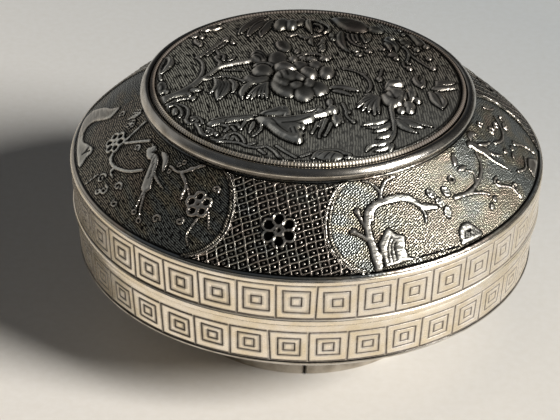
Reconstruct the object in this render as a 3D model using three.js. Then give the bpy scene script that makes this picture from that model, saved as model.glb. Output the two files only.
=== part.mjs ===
// A round silver pill box with a lift-off lid, in the manner of South-East Asian Chinese work.
// The lid is a hoop closed by a sloping shoulder, with a chased plaque set in a moulded bezel on its
// crown. The base is a second hoop on a shallow dish that stands on a ring foot, and a plain collar
// inside it guides the lid. Millimetres, +Z up, origin on the ground at the middle of the ring foot.
import * as THREE from "three";
import { mergeVertices } from "three/addons/utils/BufferGeometryUtils.js";

// Base
const footRadius = 17.2; // outside of the ring foot
const footStrip = 0.9; // thickness of the strip it is bent from
const footHeight = 2.2;
const footSeamWidth = 0.25; // open butt joint of the strip
const footSeamAngle = -89.5; // degrees from +X, at the front
const dishDepth = 8.7; // foot ring to flange
const dishSheet = 0.7;
const dishSwell = 0.3; // how far the dish bellies out from a straight cone
const flangeThickness = 0.55;
const flangeProud = 0.1; // the flange shows past the hoop as a narrow lip
const baseWallHeight = 5.65;
const baseTaper = 0.4; // the base hoop is this much smaller at its foot
const baseSheet = 0.75;
const baseSetback = 0.2; // the base hoop stands inside the lid's mouth by this much

// Collar that the lid slides over
const collarLap = 3.6; // above the base hoop
const collarDepth = 3.0; // inside the base hoop
const collarSheet = 0.7;
const slidingClearance = 0.1;
const solderGap = 0.05; // between rings that are soldered one in the other

// Lid
const rimRadius = 31; // where wall and shoulder meet, the widest place
const seatGap = 0.1; // the fine dark joint between lid and base
const mouthWireHeight = 1.0;
const mouthWireProud = 0.15;
const lidWallHeight = 5.15;
const lidTaper = 0.3; // the lid hoop leans in by this much towards its mouth
const lidSheet = 0.9;
const shoulderSheet = 0.65;
const shoulderRise = 8.1;
const shoulderSwell = 0.25;
const rimRound = 0.25;
const neckRadius = 21.3;
const neckFlare = 0.4; // the shoulder sweeps up into the neck over this width
const neckHeight = 0.6;
const crownSheet = 0.6;

// Bezel, milled wire and plaque
const bezelHeight = 0.95;
const bezelProud = 0.42; // past the neck
const bezelWall = 0.82; // seat ring above the neck, inside to outside
const wireDiameter = 0.6;
const plaqueThickness = 0.85; // at its flat border, which holds the wire up above the bezel
const plaqueDome = 0.6;
const reliefHeight = 1.6; // of the tallest motif, above the ground
const pictureForward = 0.5; // the picture sits this much nearer the front of the plaque than the back

// Facets
const turnSteps = 72; // round the axis
const reliefRings = 26; // rings of the plaque's surface

// Heights, from the ground up
const dishFloorZ = footHeight;
const flangeZ = dishFloorZ + dishDepth;
const baseWallZ = flangeZ + flangeThickness;
const baseTopZ = baseWallZ + baseWallHeight;
const mouthZ = baseTopZ + seatGap;
const lidWallZ = mouthZ + mouthWireHeight;
const shoulderZ = lidWallZ + lidWallHeight;
const rimZ = shoulderZ + shoulderSheet;
const neckZ = rimZ + shoulderRise;
const plaqueZ = neckZ + crownSheet;
const borderZ = plaqueZ + plaqueThickness;

// Radii, from the rim inwards
const mouthRadius = rimRadius - lidTaper;
const mouthBore = mouthRadius - lidSheet;
const collarRadius = mouthBore - slidingClearance;
const collarSeat = collarRadius + solderGap;
const baseTopRadius = mouthRadius - baseSetback;
const baseFootRadius = baseTopRadius - baseTaper;
const bezelBore = neckRadius - bezelWall;
const plaqueRadius = bezelBore - solderGap;
const wireRadius = plaqueRadius - wireDiameter / 2;
const groundRadius = wireRadius - wireDiameter / 2 - solderGap;

const oldSilver = { color: 0xb9b2a4, roughness: 0.34, metalness: 1 };
const brightSilver = { color: 0xe4dccb, roughness: 0.26, metalness: 1 };
const darkSilver = { color: 0x6d6a63, roughness: 0.4, metalness: 1 };

const box = new THREE.Group();

function add(name, geometry, look) {
  const piece = new THREE.Mesh(geometry, new THREE.MeshStandardMaterial(look));
  piece.name = name;
  box.add(piece);
}

// A ring or disc turned about +Z from a profile of [radius, height] pairs, anticlockwise round the metal.
function turned(profile) {
  const solid = profile.every(([r]) => r > 0);
  const points = (solid ? [...profile, profile[0]] : profile).map(([r, z]) => new THREE.Vector2(r, z));
  return new THREE.LatheGeometry(points, turnSteps).rotateX(Math.PI / 2);
}

// Points of a slope from one place to another that swells out of the straight line, to the left of its way.
function swollenSlope([r0, z0], [r1, z1], swell, steps) {
  const length = Math.hypot(r1 - r0, z1 - z0);
  const out = [(z1 - z0) / length, (r0 - r1) / length];
  return Array.from({ length: steps + 1 }, (_, i) => {
    const t = i / steps;
    const s = swell * 4 * t * (1 - t);
    return [r0 + (r1 - r0) * t + out[0] * s, z0 + (z1 - z0) * t + out[1] * s];
  });
}

// The same slope moved square to itself, away from the swell, by the thickness of the sheet.
function underSlope([r0, z0], [r1, z1], swell, steps, sheet) {
  const length = Math.hypot(r1 - r0, z1 - z0);
  const inward = [(-(z1 - z0) / length) * sheet, (-(r0 - r1) / length) * sheet];
  return swollenSlope([r0, z0], [r1, z1], swell, steps).map(([r, z]) => [r + inward[0], z + inward[1]]);
}

// Base: ring foot, dish, hoop and collar

function ringFoot() {
  const half = footSeamWidth / footRadius / 2;
  const start = THREE.MathUtils.degToRad(footSeamAngle) + half;
  const end = start + 2 * Math.PI - 2 * half;
  const strip = new THREE.Shape()
    .absarc(0, 0, footRadius, start, end, false)
    .absarc(0, 0, footRadius - footStrip, end, start, true);
  return new THREE.ExtrudeGeometry(strip, {
    depth: footHeight,
    bevelEnabled: false,
    curveSegments: turnSteps,
  });
}

function dish() {
  const lip = baseFootRadius + flangeProud;
  const edge = [lip - flangeThickness / 2, flangeZ];
  const floorEdge = [footRadius, dishFloorZ];
  const outside = swollenSlope(floorEdge, edge, dishSwell, 4);
  const inside = underSlope(floorEdge, edge, dishSwell, 4, dishSheet);
  const wellRadius = inside[0][0];
  const wellZ = dishFloorZ + dishSheet;
  const step = inside.findIndex(([, z]) => z > wellZ);
  return turned([
    [0, dishFloorZ],
    ...outside,
    [lip, flangeZ + flangeThickness / 2],
    [lip - flangeProud, baseWallZ],
    [inside[4][0], baseWallZ],
    ...inside.slice(Math.max(step, 1), 4).reverse(),
    [wellRadius, wellZ],
    [0, wellZ],
  ]);
}

function baseHoop() {
  return turned([
    [baseFootRadius, baseWallZ],
    [baseTopRadius, baseTopZ],
    [collarSeat, baseTopZ],
    [collarSeat, baseTopZ - collarDepth],
    [baseFootRadius - baseSheet, baseTopZ - collarDepth],
    [baseFootRadius - baseSheet, baseWallZ],
  ]);
}

function collar() {
  const chamfer = collarSheet / 3;
  const top = baseTopZ + collarLap;
  return turned([
    [collarRadius, baseTopZ - collarDepth],
    [collarRadius, top - chamfer],
    [collarRadius - chamfer, top],
    [collarRadius - collarSheet, top],
    [collarRadius - collarSheet, baseTopZ - collarDepth],
  ]);
}

// Lid: mouth wire, hoop, shoulder and crown plate

function mouthWire() {
  const proud = mouthRadius + mouthWireProud;
  return turned([
    [mouthBore, mouthZ],
    [mouthRadius - mouthWireProud, mouthZ],
    [proud, mouthZ + mouthWireHeight * 0.3],
    [proud, mouthZ + mouthWireHeight * 0.7],
    [mouthRadius, lidWallZ],
    [mouthBore, lidWallZ],
  ]);
}

function lidHoop() {
  return turned([
    [mouthRadius, lidWallZ],
    [rimRadius, shoulderZ],
    [rimRadius - lidSheet, shoulderZ],
    [mouthBore, lidWallZ],
  ]);
}

function shoulder() {
  const low = [rimRadius - rimRound, rimZ];
  const high = [neckRadius + neckFlare, neckZ - neckHeight];
  const outside = swollenSlope(low, high, shoulderSwell, 4);
  const inside = underSlope(low, high, shoulderSwell, 4, shoulderSheet);
  return turned([
    [rimRadius - lidSheet, shoulderZ],
    [rimRadius, shoulderZ],
    [rimRadius, rimZ - rimRound],
    ...outside,
    [neckRadius, neckZ],
    [neckRadius - shoulderSheet, neckZ],
    ...inside.slice(1).reverse(),
  ]);
}

function crownPlate() {
  return turned([
    [0, neckZ],
    [neckRadius, neckZ],
    [neckRadius, plaqueZ],
    [0, plaqueZ],
  ]);
}

// Bezel: a rounded moulding that stands past the neck and holds the plaque

function bezel() {
  const proud = neckRadius + bezelProud;
  const top = plaqueZ + bezelHeight;
  return turned([
    [bezelBore, plaqueZ],
    [neckRadius, plaqueZ],
    [proud - bezelProud * 0.25, plaqueZ + bezelHeight * 0.25],
    [proud, plaqueZ + bezelHeight * 0.55],
    [proud - bezelProud * 0.4, plaqueZ + bezelHeight * 0.85],
    [neckRadius - bezelWall * 0.2, top],
    [bezelBore + bezelWall * 0.25, top - bezelHeight * 0.03],
    [bezelBore, top - bezelHeight * 0.2],
  ]);
}

// Milled wire: six-sided here, it lies with a flat on the plaque's border
function milledWire() {
  const radius = wireDiameter / 2;
  const rise = radius * Math.sin(Math.PI / 3);
  return turned(
    Array.from({ length: 6 }, (_, i) => {
      const a = (i * Math.PI) / 3;
      return [wireRadius + radius * Math.cos(a), borderZ + rise + radius * Math.sin(a)];
    }),
  );
}

// Plaque: a domed plate raised from behind into flowers, leaves, a bird and rocks.
// Each motif gives its height above the ground at a point, and the tallest one there shows.

const motifs = [];

// A round swelling: a petal, a berry or a stone
function boss(x, y, across, along, turn, height) {
  const c = Math.cos(THREE.MathUtils.degToRad(turn));
  const s = Math.sin(THREE.MathUtils.degToRad(turn));
  motifs.push((px, py) => {
    const u = ((px - x) * c + (py - y) * s) / across;
    const v = ((py - y) * c - (px - x) * s) / along;
    return height * Math.sqrt(Math.max(0, 1 - u * u - v * v));
  });
}

// A leaf or wing from its stalk to its tip, with a groove down the middle
function leaf(x0, y0, x1, y1, width, height) {
  const length = Math.hypot(x1 - x0, y1 - y0);
  const along = [(x1 - x0) / length, (y1 - y0) / length];
  motifs.push((px, py) => {
    const t = ((px - x0) * along[0] + (py - y0) * along[1]) / length;
    if (t <= 0 || t >= 1) return 0;
    const side = Math.abs((py - y0) * along[0] - (px - x0) * along[1]);
    const half = (width / 2) * Math.sin(Math.PI * Math.pow(t, 0.8));
    const across = side / half;
    return across < 1 ? height * Math.sqrt(1 - across * across) * (0.7 + 0.3 * Math.min(1, 3 * across)) : 0;
  });
}

// A branch or tendril along a curve, round in section and thinner towards its end
function stem(places, startWidth, endWidth, height) {
  const curve = new THREE.SplineCurve(places.map(([x, y]) => new THREE.Vector2(x, y)));
  const steps = 6 * places.length;
  const spots = curve.getPoints(steps);
  motifs.push((px, py) => {
    let most = 0;
    spots.forEach((spot, i) => {
      const half = (startWidth + (endWidth - startWidth) * (i / steps)) / 2;
      const away = Math.hypot(px - spot.x, py - spot.y) / half;
      if (away < 1) most = Math.max(most, height * Math.sqrt(1 - away * away));
    });
    return most;
  });
}

// A row of like petals or stones along an arc about a centre
function row(x, y, radius, fromAngle, toAngle, count, size, height) {
  for (let i = 0; i < count; i++) {
    const turn = fromAngle + ((toAngle - fromAngle) * i) / (count - 1);
    const a = THREE.MathUtils.degToRad(turn);
    boss(x + radius * Math.cos(a), y + radius * Math.sin(a), size * 1.15, size * 0.85, turn, height);
  }
}

function peonyInTheMiddle() {
  boss(-3.2, -1.7, 1.8, 2.5, -15, 1.0);
  boss(-0.6, -2.9, 1.6, 2.3, 5, 1.0);
  boss(1.3, -1.7, 1.4, 2.0, 15, 1.0);
  boss(-3.5, -0.7, 1.4, 1.8, -20, 1.4);
  boss(-1.6, -1.6, 1.4, 1.3, 0, 1.4);
  boss(0.2, -0.9, 1.1, 1.5, 15, 1.4);
  boss(-2.6, 0.5, 2.2, 2.0, -10, 1.9);
  boss(-1.2, 0, 1.2, 1.1, 0, 1.7);
  boss(0, 2.1, 1.4, 1.7, 0, 1.3);
  boss(-3.1, 3.5, 1.6, 1.4, 0, 1.3);
  boss(2.4, 2.5, 1.2, 1.7, 0, 1.1);
  boss(0.9, 4.2, 1.1, 1.3, 0, 1.0);
  boss(-1.1, 4.0, 1.1, 1.3, 0, 1.0);
  boss(-6.0, 2.3, 1.7, 1.9, 0, 1.1);
  boss(-4.0, 5.9, 1.5, 2.3, 0, 0.8);
  boss(-6.7, 0.4, 2.0, 1.2, 0, 0.8);
  row(0.1, 1.2, 5.3, 64, 113, 4, 0.7, 0.8);
  stem([[-1.3, 6.9], [0.6, 7.8], [2.0, 6.9]], 0.8, 0.7, 0.6);
  boss(-3.3, 9.9, 1.1, 1.7, 0, 0.6);
  boss(-6.4, 6.5, 1.4, 2.0, 0, 1.0);
  leaf(-7.3, 0.1, -8.7, -5.3, 1.6, 0.8);
  leaf(-5.0, 0.4, -7.2, -5.2, 1.3, 0.9);
  leaf(-5.1, 0, -5.7, -5.2, 1.2, 0.9);
  leaf(2.6, -1.3, 6.9, -2.0, 1.7, 0.7);
}

function roseOnTheRight() {
  boss(11.1, -0.2, 1.5, 1.1, 0, 1.2);
  boss(11.2, -3.0, 1.6, 1.7, 0, 1.6);
  boss(10.7, -4.2, 1.5, 1.8, 25, 1.1);
  boss(13.2, -2.8, 0.7, 1.6, 0, 1.1);
  boss(12.6, -5.4, 1.0, 1.3, 0, 1.0);
  row(11.6, -4.4, 2.0, 235, 310, 3, 0.7, 0.8);
  leaf(9.4, -3.2, 6.2, -3.9, 1.4, 0.8);
  leaf(9.4, -3.4, 5.9, -6.2, 1.6, 0.8);
  leaf(9.4, -3.6, 7.2, -7.6, 1.5, 0.8);
  leaf(9.4, -3.6, 8.8, -8.0, 1.2, 0.8);
  leaf(15.7, -0.5, 19.2, -0.1, 1.4, 0.7);
  leaf(15.8, -1.0, 17.3, -5.8, 1.8, 0.7);
  leaf(14.5, -0.5, 14.2, 3.2, 1.5, 0.7);
  stem([[10.5, -6.2], [10.7, -10.0], [9.7, -14.4], [10.1, -16.2]], 0.8, 0.5, 0.5);
  leaf(10.2, -8.7, 6.4, -10.7, 1.5, 0.7);
  leaf(10.4, -9.6, 7.9, -12.1, 1.3, 0.7);
  leaf(10.5, -11.7, 8.2, -13.6, 1.2, 0.7);
  leaf(10.1, -13.4, 7.9, -15.3, 1.2, 0.7);
  leaf(10.0, -15.0, 7.9, -16.5, 1.2, 0.7);
  leaf(10.8, -8.2, 15.7, -10.2, 1.5, 0.7);
  leaf(10.9, -8.5, 13.9, -12.0, 1.7, 0.7);
}

function flowerAtTheTop() {
  boss(-3.6, 16.1, 1.2, 1.9, -14, 1.1);
  boss(-2.2, 15.9, 1.0, 1.6, -8, 1.2);
  boss(-1.0, 16.9, 0.8, 1.3, -15, 0.9);
  leaf(0, 18.0, 0.4, 13.3, 1.1, 0.9);
  stem([[1.4, 17.1], [2.5, 16.1], [2.8, 14.9], [2.0, 13.9]], 0.7, 0.7, 0.9);
  stem([[-2.5, 12.8], [-1.3, 13.2], [-0.1, 12.2], [1.7, 13.3]], 0.8, 0.8, 0.7);
  leaf(-5.3, 18.8, -9.3, 12.6, 1.2, 0.6);
  leaf(-4.9, 18.0, -8.0, 12.2, 1.2, 0.6);
  leaf(-4.5, 17.6, -6.4, 12.2, 1.1, 0.6);
  boss(5.7, 16.4, 2.5, 2.0, -8, 0.9);
  boss(9.1, 15.3, 1.1, 1.1, 0, 0.7);
}

function sprayOfBerries() {
  leaf(4.4, 15.4, 5.4, 7.8, 1.7, 0.7);
  leaf(9.7, 13.1, 11.6, 8.6, 1.8, 0.7);
  stem([[5.6, 14.2], [5.6, 12.2], [7.3, 10.3]], 0.7, 0.6, 0.5);
  stem([[12.6, 10.8], [13.2, 8.6], [15.7, 5.2]], 0.6, 0.5, 0.5);
  boss(14.6, 12.9, 0.9, 1.9, 38, 0.7);
  boss(11.2, 8.3, 0.8, 0.8, 0, 0.6);
  const berries = [
    [3.1, 13.2], [6.4, 8.6], [8.0, 9.1], [10.9, 12.9], [12.5, 12.5], [13.2, 10.9],
    [14.4, 10.0], [15.7, 10.9], [15.9, 7.6], [16.3, 5.0], [13.2, 4.6], [11.6, 7.2],
  ];
  berries.forEach(([x, y]) => boss(x, y, 0.6, 0.6, 0, 0.8));
}

function branchOnTheLeft() {
  stem([[-18.2, -5.0], [-16.4, -3.4], [-14.9, -1.6], [-14.0, 0]], 2.0, 1.2, 0.7);
  stem([[-13.7, 0.2], [-12.0, 2.9], [-9.2, 4.7], [-6.9, 5.7]], 0.8, 1.1, 0.8);
  stem([[-14.4, 0], [-13.7, 3.0], [-14.6, 6.2], [-12.7, 9.0], [-11.0, 11.6]], 0.8, 0.8, 0.5);
  stem([[-11.6, 3.9], [-12.0, 6.0], [-11.9, 8.4]], 0.8, 0.6, 0.5);
  stem([[-13.5, 0.4], [-11.0, 1.3], [-8.3, 0]], 0.7, 0.6, 0.5);
  leaf(-12.2, 1.2, -12.3, -3.8, 1.2, 0.6);
  leaf(-11.3, 1.2, -11.3, -5.6, 1.6, 0.7);
  leaf(-10.2, 1.2, -9.7, -3.6, 1.2, 0.6);
  boss(-14.5, -2.6, 0.9, 0.7, 0, 0.6);
  boss(-14.9, -4.1, 0.6, 0.9, 0, 0.6);
  leaf(-18.5, 7.0, -19.1, 0.4, 1.4, 0.6);
  boss(-18.7, -1.8, 0.7, 1.7, 0, 0.5);
  boss(-15.3, 12.9, 0.8, 1.0, 0, 0.6);
  leaf(-14.7, 9.0, -14.8, 12.2, 1.0, 0.6);
  leaf(-14.2, 13.4, -12.0, 16.0, 1.4, 0.7);
}

function birdBelow() {
  leaf(-13.4, -11.1, -5.6, -8.4, 1.6, 0.7);
  boss(-4.1, -7.9, 2.3, 1.1, 12, 0.9);
  boss(-3.2, -10.2, 3.6, 1.3, 6, 1.2);
  boss(-2.9, -12.6, 1.6, 3.1, 33, 1.0);
  boss(-1.3, -14.4, 0.8, 1.0, 0, 1.2);
  stem([[-0.2, -9.2], [1.4, -8.5], [2.8, -7.2]], 1.5, 1.5, 1.1);
  stem([[-0.4, -7.7], [0.9, -6.9], [1.6, -6.1]], 0.8, 0.7, 0.8);
  leaf(3.2, -7.9, 3.5, -11.4, 1.3, 0.8);
  leaf(1.1, -9.4, 0.4, -13.2, 0.8, 0.6);
  leaf(2.2, -9.0, 1.2, -14.2, 0.8, 0.6);
  leaf(-5.9, -10.0, -6.8, -14.0, 0.9, 0.6);
  leaf(-6.9, -9.6, -7.5, -13.2, 1.0, 0.6);
}

function rocksAndTendrils() {
  row(0, 0, 17.9, 202, 240, 7, 1.1, 0.5);
  row(0, 0, 17.0, 234, 258, 5, 0.9, 0.5);
  boss(2.5, -17.6, 2.0, 1.3, 0, 0.6);
  stem([[4.9, 3.9], [7.3, 2.2], [8.0, -0.4], [7.5, -2.0]], 0.6, 0.5, 0.4);
  boss(4.7, 4.1, 0.5, 0.5, 0, 0.5);
  boss(2.7, -4.9, 0.6, 1.1, 0, 0.5);
}

[
  peonyInTheMiddle,
  roseOnTheRight,
  flowerAtTheTop,
  sprayOfBerries,
  branchOnTheLeft,
  birdBelow,
  rocksAndTendrils,
].forEach((chase) => chase());

// The motifs above are drawn on a grid, 19.75 squares from the middle to the edge of the ground, and
// the tallest stands 1.9 units up.
const gridSquare = groundRadius / 19.75;
const gridHeight = reliefHeight / 1.9;

function plaqueHeight(x, y) {
  const out = Math.hypot(x, y) / groundRadius;
  const dome = plaqueDome * (1 - out * out);
  const [gridX, gridY] = [x / gridSquare, (y + pictureForward) / gridSquare];
  const relief = Math.max(0, ...motifs.map((height) => height(gridX, gridY)));
  const fade = THREE.MathUtils.clamp((1 - out) * 16, 0, 1);
  return borderZ + dome + relief * gridHeight * fade;
}

function plaque() {
  const places = [0, 0, plaqueHeight(0, 0)];
  const faces = [];
  const first = (ring) => (ring ? 1 + 3 * ring * (ring - 1) : 0);
  const onRing = (ring, i) => first(ring) + (ring ? i % (6 * ring) : 0);
  const addRing = (count, radius, height) => {
    for (let i = 0; i < count; i++) {
      const a = (i / count) * 2 * Math.PI;
      const x = radius * Math.cos(a);
      const y = radius * Math.sin(a);
      places.push(x, y, height(x, y));
    }
  };
  for (let ring = 1; ring <= reliefRings; ring++) {
    addRing(6 * ring, (groundRadius * ring) / reliefRings, plaqueHeight);
    for (let sector = 0; sector < 6; sector++) {
      for (let i = 0; i < ring; i++) {
        const inner = onRing(ring - 1, sector * (ring - 1) + i);
        const outer = onRing(ring, sector * ring + i);
        const next = onRing(ring, sector * ring + i + 1);
        faces.push(inner, outer, next);
        if (i < ring - 1) faces.push(inner, next, onRing(ring - 1, sector * (ring - 1) + i + 1));
      }
    }
  }
  // Flat border under the milled wire, then down the edge and in across the back
  const count = 6 * reliefRings;
  const bands = [first(reliefRings), first(reliefRings) + count, first(reliefRings) + 2 * count];
  addRing(count, plaqueRadius, () => borderZ);
  addRing(count, plaqueRadius, () => plaqueZ);
  const middle = places.push(0, 0, plaqueZ) / 3 - 1;
  for (let i = 0; i < count; i++) {
    const j = (i + 1) % count;
    for (const [a, b] of [bands.slice(0, 2), bands.slice(1, 3)]) {
      faces.push(a + i, b + i, b + j, a + i, b + j, a + j);
    }
    faces.push(bands[2] + i, middle, bands[2] + j);
  }
  const plate = new THREE.BufferGeometry();
  plate.setAttribute("position", new THREE.Float32BufferAttribute(places, 3));
  plate.setIndex(faces);
  const clean = mergeVertices(plate);
  clean.computeVertexNormals();
  return clean;
}

add("foot_ring", ringFoot(), oldSilver);
add("base_dish", dish(), oldSilver);
add("base_wall", baseHoop(), brightSilver);
add("inner_collar", collar(), oldSilver);
add("lid_mouth_wire", mouthWire(), brightSilver);
add("lid_wall", lidHoop(), brightSilver);
add("lid_shoulder", shoulder(), darkSilver);
add("lid_crown_plate", crownPlate(), oldSilver);
add("medallion_bezel", bezel(), oldSilver);
add("milled_wire", milledWire(), oldSilver);
add("medallion_plaque", plaque(), darkSilver);

export default box;
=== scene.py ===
# %% [markdown]
# # A silver pill box
#
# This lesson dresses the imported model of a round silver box, 62 mm across, so that it looks like one
# that hands have rubbed for a hundred years. A silversmith made it from sheet: two hoops engraved
# with a fret, a sloping shoulder chased with pictures, and a plaque raised into flowers and a bird.
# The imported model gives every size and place. Here each part gets the finer shape and the finish
# that its CAD solid leaves out.

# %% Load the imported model
import math

import bpy
import numpy as np
from mathutils import Matrix, Vector


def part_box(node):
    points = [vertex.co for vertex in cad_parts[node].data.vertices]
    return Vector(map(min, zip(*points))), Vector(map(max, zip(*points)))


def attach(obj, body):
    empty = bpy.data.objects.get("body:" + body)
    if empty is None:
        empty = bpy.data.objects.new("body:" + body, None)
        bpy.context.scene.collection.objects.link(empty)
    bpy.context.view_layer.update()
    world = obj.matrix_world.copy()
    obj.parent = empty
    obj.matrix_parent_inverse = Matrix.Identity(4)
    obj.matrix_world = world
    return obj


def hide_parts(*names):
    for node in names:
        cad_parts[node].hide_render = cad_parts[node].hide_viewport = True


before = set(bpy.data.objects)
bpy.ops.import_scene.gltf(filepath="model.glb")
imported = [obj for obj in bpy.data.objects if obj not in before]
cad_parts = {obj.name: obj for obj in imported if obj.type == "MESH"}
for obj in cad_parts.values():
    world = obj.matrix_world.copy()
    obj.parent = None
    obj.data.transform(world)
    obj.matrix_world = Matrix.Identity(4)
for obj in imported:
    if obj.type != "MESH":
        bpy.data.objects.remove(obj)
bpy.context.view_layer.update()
chance = np.random.default_rng(62)

# %% [markdown]
# The scene measures the CAD nodes instead of repeating their sizes, so it follows the model when a
# size changes. Every node here is round about the upright axis, so three numbers say enough.

# %% Measure the round parts
def reach(name):
    """Outside radius, lowest and highest point of a CAD node, in millimetres."""
    low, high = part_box(name)
    return 1000 * high.x, 1000 * low.z, 1000 * high.z


foot_radius, foot_low, foot_high = reach("foot_ring")
lip_radius, dish_low, dish_high = reach("base_dish")
base_radius, _, base_high = reach("base_wall")
collar_radius, collar_low, collar_high = reach("inner_collar")
mouth_proud, mouth_low, mouth_high = reach("lid_mouth_wire")
rim_radius, wall_low, wall_high = reach("lid_wall")
_, shoulder_low, neck_high = reach("lid_shoulder")
neck_radius, _, crown_high = reach("lid_crown_plate")
bezel_radius, bezel_low, bezel_high = reach("medallion_bezel")
plaque_radius, plaque_low, relief_high = reach("medallion_plaque")
_, border_high, wire_high = reach("milled_wire")
rim_high = shoulder_low + 0.65
print(f"Rim radius {rim_radius:.2f}, rim at {rim_high:.2f}, neck at {neck_high:.2f} mm")

# %% [markdown]
# ## Camera
# The camera stands where the photographer held theirs: about 29 cm away, a long lens, 32 degrees
# above the table and tipped by a degree. It was fitted to the circles of the box in the photograph,
# so it is built from those angles rather than moved until it looks right.

# %% Camera
camera_rise, camera_roll, camera_away = 0.56625, 0.01649, 0.29443
aim = Vector((-3.374, 0, 14.407)) / 1000
back = Vector((0, -math.cos(camera_rise), math.sin(camera_rise)))
right = Vector((1, 0, 0))
up = back.cross(right)
tipped_right = math.cos(camera_roll) * right + math.sin(camera_roll) * up
tipped_up = math.cos(camera_roll) * up - math.sin(camera_roll) * right

camera = bpy.data.objects.new("camera", bpy.data.cameras.new("camera"))
camera.data.sensor_width, camera.data.lens = 36, 141.43
camera.data.clip_start, camera.data.clip_end = 0.01, 20
camera.matrix_world = Matrix.Translation(aim + back * camera_away) @ Matrix(
    (tipped_right, tipped_up, back)
).transposed().to_4x4()
bpy.context.scene.collection.objects.link(camera)
bpy.context.scene.camera = camera
bpy.context.scene.view_settings.view_transform = "Standard"
print("Camera is", round(1000 * (camera.location - aim).length), "mm from what it looks at")

# %% [markdown]
# ## Materials
# Colours are easiest to read as the hex values of a paint chart, but a shader works with linear
# light, so one function turns one into the other. Another adds a node with its settings and its
# inputs, where an input is a plain value or another node's output, and hands back the node's own
# output. They keep each material below short enough to read.

# %% Helpers for materials
def linear(colour):
    """An sRGB hex colour as the linear numbers that a shader works with."""
    parts = [int(colour[i : i + 2], 16) / 255 for i in (1, 3, 5)]
    return (*[p / 12.92 if p <= 0.04045 else ((p + 0.055) / 1.055) ** 2.4 for p in parts], 1)


def plug(tree, node, inputs):
    """Gives a node its inputs: an output is linked, a plain value is set on the socket itself."""
    for name, value in inputs.items():
        if isinstance(value, bpy.types.NodeSocket):
            tree.links.new(value, node.inputs[name])
        else:
            node.inputs[name].default_value = value


def add(tree, kind, inputs, gives=None, stops=(), **settings):
    """Adds a node with its settings and inputs, and its stops if it is a colour ramp. Hands back the
    output that gives names, or else the first one that the node offers."""
    node = tree.nodes.new("ShaderNode" + kind)
    for name, value in settings.items():
        setattr(node, name, value)
    plug(tree, node, inputs)
    if stops:
        ramp = node.color_ramp.elements
        ramp[0].position, ramp[1].position = stops[0][0], stops[-1][0]
        for position, _ in stops[1:-1]:
            ramp.new(position)
        for stop, (_, colour) in zip(ramp, stops):
            stop.color = linear(colour)
    return node.outputs[gives] if gives else next(s for s in node.outputs if s.enabled)


def bands(pitch):
    """The scale at which a wave texture repeats once every pitch, both in the same unit."""
    return 2 * math.pi / 20 / pitch


print("A mid grey of #808080 is", round(linear("#808080")[0], 3), "in linear light")

# %% [markdown]
# Each mesh below carries readings at its points: how deep the graver has cut, how much a spot stands
# out or lies low, and where it is on the flattened sheet in millimetres. The materials read them, so
# dirt lies in the cuts and the high spots are rubbed, as on the real box.
#
# **Rubbed silver** is the metal of the two hoops and the two wires, which fingers meet first. Hands
# and cloths keep it bright, in a warm cream that comes from thin tarnish, and only the cuts hold
# dark brown. Rubbing leaves fine scratches along the hoop: real ones are some hundredths of a
# millimetre wide, and these are drawn about three times coarser so that they show at all. Dirt is
# no metal, so the cuts are also duller and reflect less.

# %% Rubbed silver
def new_metal(name):
    """A metal material, its node tree, its shader, and its readings of cuts and of the sheet."""
    material = bpy.data.materials.new(name)
    material.use_nodes = True
    tree = material.node_tree
    shader = tree.nodes["Principled BSDF"]
    shader.inputs["Metallic"].default_value = 1
    cut = add(tree, "Attribute", {}, "Fac", attribute_name="cut")
    sheet = add(tree, "Attribute", {}, "Vector", attribute_name="sheet")
    return material, tree, shader, cut, sheet


rubbed_silver, tree, shader, cut, sheet = new_metal("rubbed_silver")
cloud = add(tree, "TexNoise", {"Vector": sheet, "Scale": 0.35, "Detail": 4})
tarnish = add(tree, "ValToRGB", {"Fac": cloud}, stops=((0.35, "#f2e3c8"), (0.65, "#fff5e6")))
along = add(tree, "Mapping", {"Vector": sheet, "Scale": (0.5, 8, 1)})
scratch = add(tree, "TexNoise", {"Vector": along, "Scale": 1.2, "Detail": 5})
gloss = add(
    tree, "MapRange",
    {"Value": scratch, "From Min": 0.3, "From Max": 0.7, "To Min": 0.2, "To Max": 0.34},
)
plug(tree, shader, {
    "Base Color": add(tree, "Mix", {"Factor": cut, "A": tarnish, "B": linear("#2a190c")}, data_type="RGBA"),
    "Roughness": add(tree, "Math", {0: cut, 1: 0.4, 2: gloss}, operation="MULTIPLY_ADD"),
    "Metallic": add(tree, "Math", {0: 1.0, 1: cut}, operation="SUBTRACT"),
    "Normal": add(tree, "Bump", {"Height": scratch, "Strength": 0.5, "Distance": 0.00002}),
})
print("Rubbed silver has", len(tree.nodes), "nodes")

# %% [markdown]
# **Worn silver** is the metal of the plain parts: foot, dish, collar, crown plate and bezel. It is
# greyer, because it isn't rubbed as often, with cloudy tarnish and dark in its seams. Where the
# tarnish is thicker it is also duller, so one noise pattern gives both colour and gloss.

# %% Worn silver
worn_silver, tree, shader, cut, sheet = new_metal("worn_silver")
cloud = add(tree, "TexNoise", {"Vector": sheet, "Scale": 0.5, "Detail": 6})
tarnish = add(tree, "ValToRGB", {"Fac": cloud}, stops=((0.3, "#a69e91"), (0.62, "#d4cdc2")))
gloss = add(
    tree, "MapRange",
    {"Value": cloud, "From Min": 0.3, "From Max": 0.7, "To Min": 0.26, "To Max": 0.16},
)
along = add(tree, "Mapping", {"Vector": sheet, "Scale": (0.4, 7, 1)})
scratch = add(tree, "TexNoise", {"Vector": along, "Scale": 1.5, "Detail": 4})
plug(tree, shader, {
    "Base Color": add(tree, "Mix", {"Factor": cut, "A": tarnish, "B": linear("#1b1512")}, data_type="RGBA"),
    "Roughness": gloss,
    "Normal": add(tree, "Bump", {"Height": scratch, "Strength": 0.6, "Distance": 0.00002}),
})
print("Worn silver has", len(tree.nodes), "nodes")

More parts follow.
